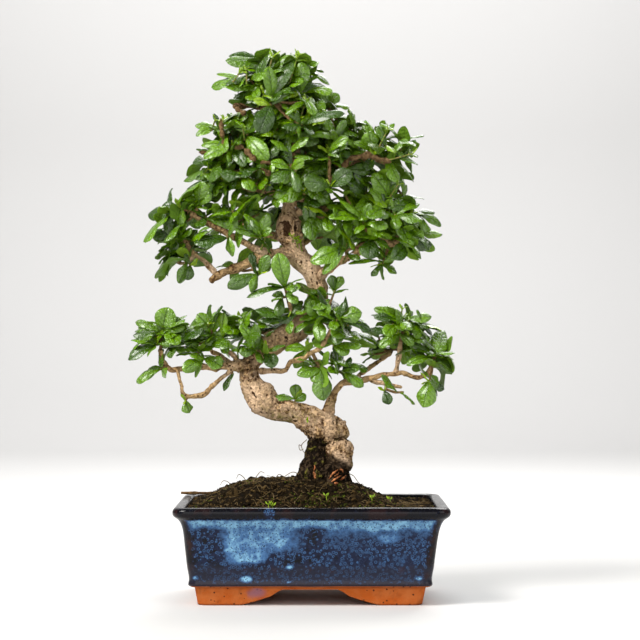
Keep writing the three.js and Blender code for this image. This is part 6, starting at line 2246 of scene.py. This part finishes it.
@dataclass
class Pot:
    """The glazed pot: one wall from the recess under it, over foot and rim, to the floor inside.

    Attributes:
        outline: its rounded rectangle at the rim.
        foot_height: where the feet end and the glaze starts.
        lean: how far the sides shift to the left per millimetre below the rim, as seen in the photograph.
        arch_width, side_arch: half the span and half the flat ceiling of the arches, long side first.
        under, outside, inside: rows of the wall, each with its inset from the rim and its height.
        spots: light spots on the front: x, z and half the width.
    """

    outline: Outline
    foot_height: float = 13.0
    lean: float = 0.017
    arch_width: tuple[float, float] = (50.0, 20.0)
    side_arch: tuple[float, float] = (30.0, 12.0)
    under: tuple[tuple[float, float], ...] = ((70.0, 12.0), (50.0, 12.0), (32.0, 12.0), (30.0, 11.8))
    outside: tuple[tuple[float, float], ...] = (
        (12.6, 14.0), (11.8, 15.2), (12.2, 17.0), (11.0, 28.0), (9.5, 41.0), (8.5, 49.0), (7.1, 56.0),
        (5.9, 59.3), (4.4, 61.6), (2.8, 62.9), (1.1, 64.2), (0.2, 65.8), (0.0, 67.5), (0.3, 69.1),
        (1.3, 70.4), (2.7, 71.2), (4.4, 71.5), (6.4, 71.3), (8.3, 70.3), (9.2, 68.5), (9.8, 66.0),
        (13.0, 56.0), (20.0, 20.0)
    )
    inside: tuple[tuple[float, float], ...] = ((22.0, 19.0), (50.0, 19.0), (70.0, 19.0))
    spots: tuple[Triple, ...] = (
        (-46, 19.5, 5.2), (-15, 28.2, 3.4), (-15.5, 17.5, 2.0), (78, 20, 3.0), (-82.5, 20.5, 3.0)
    )

    @staticmethod
    def foot() -> list[Triple]:
        """The profile's rows up the inner side of the foot, over its underside and up its outer side.

        Returns:
            For each row its inset, its height, and its share of the way up the foot.
        """
        rows = [(31.0, 0.0, share) for share in (0.8, 0.5, 0.2, 0.04)]
        rows += [(inset, 0.0, 0.0) for inset in (30.6, 28.0, 24.0, 19.4)]
        rows += [(19.0 - 2.4 * share, 0.0, share) for share in (0.03, 0.12, 0.25, 0.4, 0.55, 0.7, 0.85, 0.96)]
        return [*rows, (16.5, 13.0, 1.0), (14.0, 13.4, 1.0)]

    def profile(self) -> tuple[Array, Array, Array]:
        """Rows of the wall: inset, height, and the share of the way from the arch to the top of the foot.

        Returns:
            Three numbers for each row.
        """
        outer = smooth_line(np.array([(inset, z, 0) for inset, z in self.outside]), 96)
        outer[:, 2] = 1
        under, inside = ([(*place, 1.0) for place in places] for places in (self.under, self.inside))
        rows = np.concatenate([under, self.foot(), outer, inside])
        return rows[:, 0], rows[:, 1], rows[:, 2]

    def build(self, palette: Palette) -> None:
        """Writes the pot, glazed above the foot and bare clay below.

        Args:
            palette: the finishes.
        """
        inset, height, share = self.profile()
        rings = np.array([self.outline.ring(i) for i in inset])
        low = np.maximum(
            arch_height(rings[..., 0], *self.arch_width), arch_height(rings[..., 1], *self.side_arch)
        )
        foot = height[:, None] == 0
        z = np.where(foot, low + (self.foot_height - low) * share[:, None], height[:, None])
        sides = rings.shape[1]
        points = np.concatenate([rings, z[..., None]], axis=-1).reshape(-1, 3)
        quads, caps = ring_faces(len(inset), sides), end_faces(len(inset), sides)
        row = np.repeat(np.arange(len(inset) - 1), sides)
        glazed = row >= len(self.under) + len(self.foot())
        wall = Surface(points, [quads[~glazed], quads[glazed], caps[:1], caps[1:]], [1, 0, 1, 0])
        swell = (0.22 * layered_noise(points, 22, 5, 2) - 0.26) * (points[:, 2] > self.foot_height + 0.5)
        wall.points = points + Surface(points, [quads], [0]).normals() * swell[:, None]
        wall.points[:, 0] -= self.lean * (RIM_HEIGHT - points[:, 2]).clip(0)
        wall.values = self.colouring(points, np.repeat(inset, sides))
        write_piece("pot_body", wall, [palette.glaze, palette.clay], ("pot",))

    def colouring(self, points: Array, inset: Array) -> dict[str, Array]:
        """Where the glaze is pale, smooth or rusty, painted shadow where glaze and foot meet, and a stain and
        darker parts on the clay.

        On the front, the pale patches lie where they do in the photograph. The other sides get their own by
        noise.

        Args:
            points: places on the pot.
            inset: how far the wall stands in from the rim there.

        Returns:
            The numbers "pale", "smooth", "rust", "tint" and "blot".
        """
        x, y, z = points.T
        broad = layered_noise(points, 15, 33)
        fine = layered_noise(points, 3.6, 35)
        wide, deep = self.outline.half_width - inset, self.outline.half_depth - inset
        corner = step_up(np.abs(x), wide - 9, wide - 3) * step_up(np.abs(y), deep - 9, deep - 3)
        front = step_up(y, -52, -60)
        ground = 0.24 + 0.09 * broad + 0.09 * fine + 0.07 * front * step_up(x, -12, 18)
        top = step_up(z, 63.2 + 0.8 * fine, 61.4)
        foot_of_band = 54.8 - 2.2 * broad + 1.2 * fine - 1.5 * step_up(x, 60, 80)
        band = (0.84 + 0.12 * fine) * step_up(z, foot_of_band - 4.0, foot_of_band + 3.0)
        tail = (0.48 + 0.12 * broad) * step_up(z, 38 + 4 * fine, 55) * step_up(x, 0, 12)
        lower = 29.0 + 1.0 * broad + 16 * step_up(x, -58, -66) + 6.5 * step_up(x, -36, -26)
        patch = step_up(z, lower - 3.5, lower + 5.0) * step_up(x + 2 * fine, -73, -57)
        patch = patch * step_up(x + 5 * broad + 3 * fine, 2, -20) * (0.76 + 0.14 * fine + 0.1 * broad)
        patch = patch * (1 - 0.35 * step_up(x, -38, -28) * step_up(z, 46, 38))
        clump = 0.72 * oval(x, z, (55, 49.5), (13, 5.5), 1.3) + 0.06 * fine
        spots = sum(oval(x + 0.6 * fine, z, (i, k), (size, 0.55 * size), 2) for i, k, size in self.spots)
        ahead = np.maximum(np.maximum(patch, clump), np.maximum(tail, spots))
        cells = layered_noise(points * np.array([1, 1, 1.5]), 34, 91, 2)
        aside = 0.85 * step_up(cells + 0.25 * fine, -0.05, 0.4) * step_up(z, 26, 42)
        pale = np.maximum(np.maximum(ground, band), front * ahead + (1 - front) * aside)
        # A narrow band at the glaze's lower edge, turned black and tinged brown through the rust tone:
        # painted shadow where the glaze meets the foot.
        base = np.exp(-(((z - 15.2) / 1.6) ** 2))
        tuft = 0.3 * np.exp(-(((x + 30 + 2 * fine) / 4) ** 2)) * front + 0.03 * step_up(fine, 0.3, 0.8)
        pale = pale * top * (1 - 0.92 * corner) * (1 - 0.95 * base) + (1 - top) * (0.02 + tuft)
        pale = np.maximum(pale, 0.8 * front * spots)
        smooth = step_up(z + 1.5 * broad, 32, 25) * (1 - np.clip(front * spots, 0, 1))
        streak = step_up(fine + 0.5 * broad, 0.2, 0.8) * np.exp(-(((z - 26) / 2.5) ** 2)) * 0.5
        edges = np.maximum(corner * 0.6 * step_up(fine, -0.2, 0.7), 0.35 * base)
        edges = np.maximum(edges, 0.35 * (1 - top) * step_up(broad + 0.4 * fine, 0.1, 0.7))
        rust = np.maximum(streak, edges)
        blot = 0.8 * oval(x + fine, z + fine, (-38.6, 9.0), (6.5, 3.6), 2) * (y < -45)
        # The clay is darker at the bottom of the foot and in flecks, and at the top of the foot under the
        # glaze as painted shadow.
        tint = 0.55 * step_up(z, 1.8, 0.1) + 0.25 * step_up(fine, 0.4, 0.9) + 0.5 * step_up(z, 12.0, 13.2)
        return {
            "pale": np.clip(pale, 0, 1.1), "smooth": smooth, "rust": np.clip(rust, 0, 0.8),
            "tint": np.clip(tint, 0, 1) * (z < 13.6), "blot": blot
        }


def soil_height(x: Array, y: Array) -> Array:
    """Height of the soil: a flat-topped mound that falls away to the pot's edge on all sides."""
    return 67.6 + 19.0 * np.exp(-(((x + 13) / 62) ** 4) - (np.abs(y) / 46) ** 4)


@dataclass
class Soil:
    """The mound of compost with its crumbs, fibres, moss and seedlings.

    Attributes:
        outline: the pot's rounded rectangle at the rim.
        inset: how far inside it the soil meets the wall.
        bottom: the height of its closed underside.
        rings: how many rings of points the mound has.
        loose: dead roots that stand up from the soil or the wood, as points.
        weeds: x and y of the seedlings.
    """

    outline: Outline
    inset: float = 9.9
    bottom: float = 60.0
    rings: int = 78
    loose: tuple[Rows, ...] = (
        ((-3.5, -8, 117), (-7.6, -8, 112.5), (-6.4, -9, 108.5), (-3.6, -9, 105)),
        ((-7.6, -8, 112), (-9.2, -8, 113), (-8.4, -9, 109), (-6, -9, 110)),
        ((-7, -12, 90), (-14, -12, 93), (-19, -11, 90.5), (-24, -12, 86)),
        ((-47, -6, 83), (-52, -7, 90), (-54, -8, 91), (-56, -8, 88)),
        ((-44, -6, 84), (-40, -7, 91), (-38, -7, 93), (-35, -8, 92)),
        ((-28, -6, 85), (-24, -7, 91), (-22, -7, 90), (-21, -8, 86)),
        ((-60, -4, 80), (-62, -4, 85), (-66, -5, 86), (-68, -5, 83)),
        ((27, -8, 92), (31, -9, 90), (34, -9, 86), (36, -9, 84))
    )
    weeds: tuple[tuple[float, float], ...] = (
        (-31, -57), (-28, -56), (11, -46), (44, -40), (58, -24), (30, 44), (-20, 52)
    )

    def heap(self) -> Surface:
        """The soil's upper side in rings towards the middle, closed by a floor inside the pot.

        Returns:
            The mound.
        """
        edge = self.outline.ring(self.inset)
        shrink = np.linspace(1, 0.004, self.rings)[:, None, None]
        middle = np.array([-5.0, 0.0])
        level = middle + (edge - middle) * shrink
        x, y = level[..., 0], level[..., 1]
        flat = np.stack([x, y, 0 * x], axis=-1).reshape(-1, 3)
        rough = (1.4 * layered_noise(flat, 9, 7, 2) + 2.0 * layered_noise(flat, 3.0, 8, 3)).reshape(x.shape)
        rough *= step_up(np.linspace(0, 1, self.rings), 0, 0.04)[:, None] * 0.8 + 0.2
        z = soil_height(x, y) + rough
        top = np.stack([x, y, z], axis=-1)
        skirt = np.column_stack([edge, np.full(len(edge), self.bottom)])[None]
        points = np.concatenate([skirt, top]).reshape(-1, 3)
        form = self.rings + 1, len(edge)
        tint = 0.25 * step_up(layered_noise(points, 4, 9), 0.4, 0.9)
        return Surface(points, [ring_faces(*form), end_faces(*form)], [0, 0], {"tint": tint})

    @staticmethod
    def crumbs(draw: Draw, count: int, biggest: float, mossy: bool = False) -> Surface:
        """Bits of bark and peat, or beads of moss: squashed five-sided beads lying on the soil.

        Args:
            draw: random numbers.
            count: how many are strewn.
            biggest: the size of the biggest.
            mossy: whether only those in the moss patches stay.

        Returns:
            The beads.
        """
        x = draw.uniform(-89, 89, count)
        y = draw.uniform(-63.5, 63.5, count)
        if mossy:
            patches = layered_noise(np.stack([x, y, 0 * x], axis=1), 15, 61, 2)
            near_base = 1.1 * np.exp(-(((x - 36) / 20) ** 2 + ((y + 14) / 14) ** 2))
            stays = patches + near_base + 0.35 * (y < -20) > 0.3 + draw.normal(0, 0.2, count)
            x, y = x[stays], y[stays]
            count = len(x)
        size = draw.uniform(0.3, 1, count) * biggest
        bead = tube(np.array([[0, 0, -0.85, 0.45], [0, 0, 0, 1.05], [0, 0, 0.85, 0.4]]), 5, (0, 1, 0))
        turn = draw.uniform(0, 2 * np.pi, count)
        lean = draw.normal(0, 0.7, count)
        cos, sin = np.cos(turn)[:, None], np.sin(turn)[:, None]
        stretch = np.stack([draw.uniform(*span, count) for span in ((0.7, 2.2), (0.6, 1.1), (0.5, 0.8))], 1)
        wide, deep, tall = np.moveaxis(bead.points[None] * stretch[:, None] * size[:, None, None], 2, 0)
        tall = tall + wide * lean[:, None] * 0.5
        turned = np.stack([wide * cos - deep * sin, wide * sin + deep * cos, tall], axis=-1)
        place = np.stack([x, y, soil_height(x, y) + 0.35 * size], axis=-1)
        points = (turned + place[:, None]).reshape(-1, 3)
        tint = np.repeat(draw.uniform(0, 1, count) ** 3, len(bead.points))
        return Surface(points, repeated(bead.faces, count, len(bead.points)), [0, 0], {"tint": tint})

    def seedlings(self, draw: Draw) -> Surface:
        """Tiny weeds: a thin stalk with two or three narrow leaves.

        Args:
            draw: random numbers.

        Returns:
            The seedlings.
        """
        parts = []
        for x, y in self.weeds:
            foot = np.array([x, y, soil_height(x, y)])
            top = foot + np.array([draw.normal(0, 0.8), -0.5, draw.uniform(1.6, 3.8)])
            parts.append(tube(smooth_line(np.array([[*foot, 0.3], [*top, 0.25]]), 5), 5, (0, 1, 0)))
            for k in range(3):
                turn = 2.1 * k + draw.uniform(0, 1)
                end = top + draw.uniform(2.0, 3.6) * np.array([math.cos(turn), math.sin(turn) * 0.6, 0.9])
                middle = (top + end) / 2 + np.array([0.3 * math.cos(turn), 0, -0.3])
                blade = smooth_line(np.array([[*top, 0.2], [*middle, 0.6], [*end, 0.1]]), 7)
                parts.append(tube(blade, 6, (0, 1, 0)))
        surface = joined(parts)
        surface.values = {"tint": 0 * surface.points[:, 0]}
        return surface

    def hairs(self, draw: Draw, count: int = 520) -> Surface:
        """Dead roots: thin bent threads lying on the soil, some with an end in the air.

        Args:
            draw: random numbers.
            count: how many lie on the soil.

        Returns:
            The threads.
        """
        threads = []
        s = np.linspace(0, 1, 7)
        for _ in range(count):
            x, y = draw.uniform(-84, 84), draw.uniform(-60, 60)
            turn, bend = draw.uniform(0, 2 * np.pi), draw.normal(0, 1.2)
            length = draw.uniform(4, 16)
            heading = turn + bend * s
            px = x + np.cumsum(np.cos(heading)) * length / 7
            py = y + np.cumsum(np.sin(heading)) * length / 7
            px, py = np.clip(px, -88, 88), np.clip(py, -63, 63)
            lift = draw.uniform(0, 3.2) * s**2 * (draw.uniform() < 0.35)
            pz = soil_height(px, py) + 0.9 + 0.5 * np.sin(9 * s + turn) + lift
            radius = draw.uniform(0.12, 0.34) * (1 - 0.5 * s)
            threads.append(tube(np.column_stack([px, py, pz, radius]), 5, (0, 0, 1)))
        for strand in self.loose:
            line = smooth_line(np.column_stack([np.array(strand, float), [0.3, 0.28, 0.25, 0.15]]), 24)
            threads.append(tube(line, 5))
        surface = joined(threads)
        surface.values = {"tint": 0.4 * step_up(lattice_noise(surface.points, 5, 6), 0, 0.6)}
        return surface

    def build(self, palette: Palette) -> None:
        """Writes the soil and what lies on it.

        Args:
            palette: the finishes.
        """
        draw = np.random.default_rng(4)
        write_piece("compost", self.heap(), [palette.soil], ("soil",))
        write_piece("bark_crumbs", self.crumbs(draw, 3800, 1.75), [palette.soil])
        write_piece("moss", self.crumbs(draw, 10000, 1.1, True), [palette.moss])
        write_piece("seedlings", self.seedlings(draw), [palette.lime])
        write_piece("root_hairs", self.hairs(draw), [palette.hair])


def build_fallen_twig(palette: Palette) -> None:
    """Writes the dead stick on the pot's back left edge.

    Args:
        palette: the finishes.
    """
    controls = np.array(
        [[-101, 52, 73.1, 1.1], [-94, 51.7, 72.9, 1.25], [-88, 51, 73.0, 1.15], [-72, 48, 73.1, 1.0]]
    )
    line = smooth_line(controls, 40)
    line[:, 3] *= 1 + 0.25 * lattice_noise(line[:, :3], 3, 5)
    stem = tube(line, 10, (0, 0, 1))
    stem.values = {"tint": 0.5 * step_up(lattice_noise(stem.points, 2, 8), 0, 0.7)}
    write_piece("dead_stick", stem, [palette.dead], ("fallen_twig",))


# Studio


@dataclass
class Studio:
    """Pale floor, soft light and the camera of the photograph.

    Attributes:
        camera_place: where the camera stands.
        pitch: its tilt in degrees, where 90 is level.
        lens: its focal length on a sensor 36 mm wide.
        reach: half the floor's width and the height of the wall behind.
        far, curve: where the floor starts to curve up, and the radius of that curve.
    """

    camera_place: Triple = (6.1, -1575.0, 190.8)
    pitch: float = 90.543
    lens: float = 118.7
    reach: float = 5000.0
    far: float = 2000.0
    curve: float = 600.0

    @staticmethod
    def at(place: Triple) -> Triple:
        """A place given in millimetres from the pot, in metres of the row frame."""
        return tuple(np.array(place) * MILLIMETRE + POT_MIDDLE)

    def camera(self) -> None:
        """Puts up the camera, with no depth of field."""
        data = bpy.data.cameras.new("camera")
        data.lens, data.sensor_width = self.lens, 36.0
        data.clip_start, data.clip_end = 0.05, 20.0
        view = bpy.data.objects.new("camera", data)
        view.location = self.at(self.camera_place)
        view.rotation_euler = (math.radians(self.pitch), 0, 0)
        bpy.context.scene.collection.objects.link(view)
        bpy.context.scene.camera = view

    def lamp(self, name: str, place: Triple, aim: Triple, size: float, power: float, colour: Triple) -> None:
        """Puts up a square soft lamp that faces a place and isn't seen by the camera.

        Args:
            name: the lamp's name.
            place: where it stands.
            aim: the place that it faces.
            size: the length of its side, in metres.
            power: in watts.
            colour: of its light.
        """
        data = bpy.data.lights.new(name, "AREA")
        data.shape, data.size, data.energy, data.color = "SQUARE", size, power, colour
        lamp = bpy.data.objects.new(name, data)
        spot, goal = np.array(self.at(place)), np.array(self.at(aim))
        lamp.location = spot
        way = goal - spot
        flat = math.hypot(way[0], way[1])
        lamp.rotation_euler = (math.atan2(flat, -way[2]), 0, math.atan2(way[1], way[0]) - math.pi / 2)
        lamp.visible_camera = False
        bpy.context.scene.collection.objects.link(lamp)

    def floor(self, finish: bpy.types.Material) -> bpy.types.Object:
        """A pale floor that curves up into a wall far behind.

        Args:
            finish: its material.

        Returns:
            The floor.
        """
        angle = np.linspace(0, 1, 24)[1:] * np.pi / 2
        bend = np.column_stack([self.far + self.curve * np.sin(angle), self.curve * (1 - np.cos(angle))])
        ends = [[-self.reach, 0.0], [self.far, 0.0]], [[self.far + self.curve, self.reach]]
        y, z = np.concatenate([ends[0], bend, ends[1]]).T
        x = np.array([-self.reach, self.reach])
        points = np.stack(np.broadcast_arrays(x, y[:, None], z[:, None]), -1)
        mesh = bpy.data.meshes.new("floor")
        row = np.arange(len(y) - 1)[:, None] * 2
        faces = row + np.array([0, 1, 3, 2])
        mesh.from_pydata((points.reshape(-1, 3) * MILLIMETRE + POT_MIDDLE).tolist(), [], faces.tolist())
        mesh.polygons.foreach_set("use_smooth", np.ones(len(faces), bool))
        mesh.materials.append(finish)
        floor = bpy.data.objects.new("floor", mesh)
        bpy.context.scene.collection.objects.link(floor)
        return floor

    def build(self, palette: Palette) -> None:
        """Sets up floor, lamps, world and camera.

        Args:
            palette: the finishes.
        """
        self.lamp("key", (-900, -700, 1300), (0, 0, 200), 0.7, 40, (1.0, 0.98, 0.95))
        self.lamp("fill", (1100, -900, 700), (0, 0, 200), 1.0, 7, (0.97, 0.98, 1.0))
        self.lamp("front", (-250, -1500, 330), (0, 0, 230), 1.2, 9, (1.0, 0.98, 0.95))
        self.lamp("rim", (300, 900, 1200), (0, 0, 250), 1.0, 18, (1.0, 1.0, 0.98))
        self.lamp("wall", (0, 1700, 1700), (0, 2600, 500), 1.8, 30, (1.0, 1.0, 1.0))
        self.floor(palette.floor)
        self.camera()
        world = bpy.data.worlds.new("studio")
        world.use_nodes = True
        ground = world.node_tree.nodes["Background"]
        ground.inputs["Color"].default_value = (1.0, 1.0, 1.0, 1)
        ground.inputs["Strength"].default_value = 0.2
        bpy.context.scene.world = world
        bpy.context.scene.view_settings.view_transform = "Standard"


def dress(node: str, finish: bpy.types.Material) -> None:
    """Gives a part that is kept as it is a finish of its own.

    Args:
        node: the part's name.
        finish: its material.
    """
    mesh = bpy.data.objects[node].data
    mesh.materials.clear()
    mesh.materials.append(finish)
    if "tint" not in mesh.attributes:
        mesh.attributes.new("tint", "FLOAT", "POINT")


def main() -> None:
    """Builds the plant, the pot and the studio, keeping the leaves inside the box of the model's parts."""
    logging.basicConfig(level=logging.INFO, format="%(name)s %(message)s")
    palette = Palette()
    low, high = ((np.array(corner) - POT_MIDDLE) / MILLIMETRE for corner in CAD_BOX)
    skeleton = Skeleton()
    outline = Outline()
    Pot(outline).build(palette)
    Soil(outline).build(palette)
    build_fallen_twig(palette)
    Trunk(skeleton).build(palette)
    Foliage(skeleton, LeafShape(), low + 0.05, high - 0.05).build(palette)
    for node in ("drain_screen_left", "drain_screen_right"):
        dress(node, palette.plastic)
    Studio().build(palette)
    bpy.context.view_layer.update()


if __name__ == "__main__":
    main()
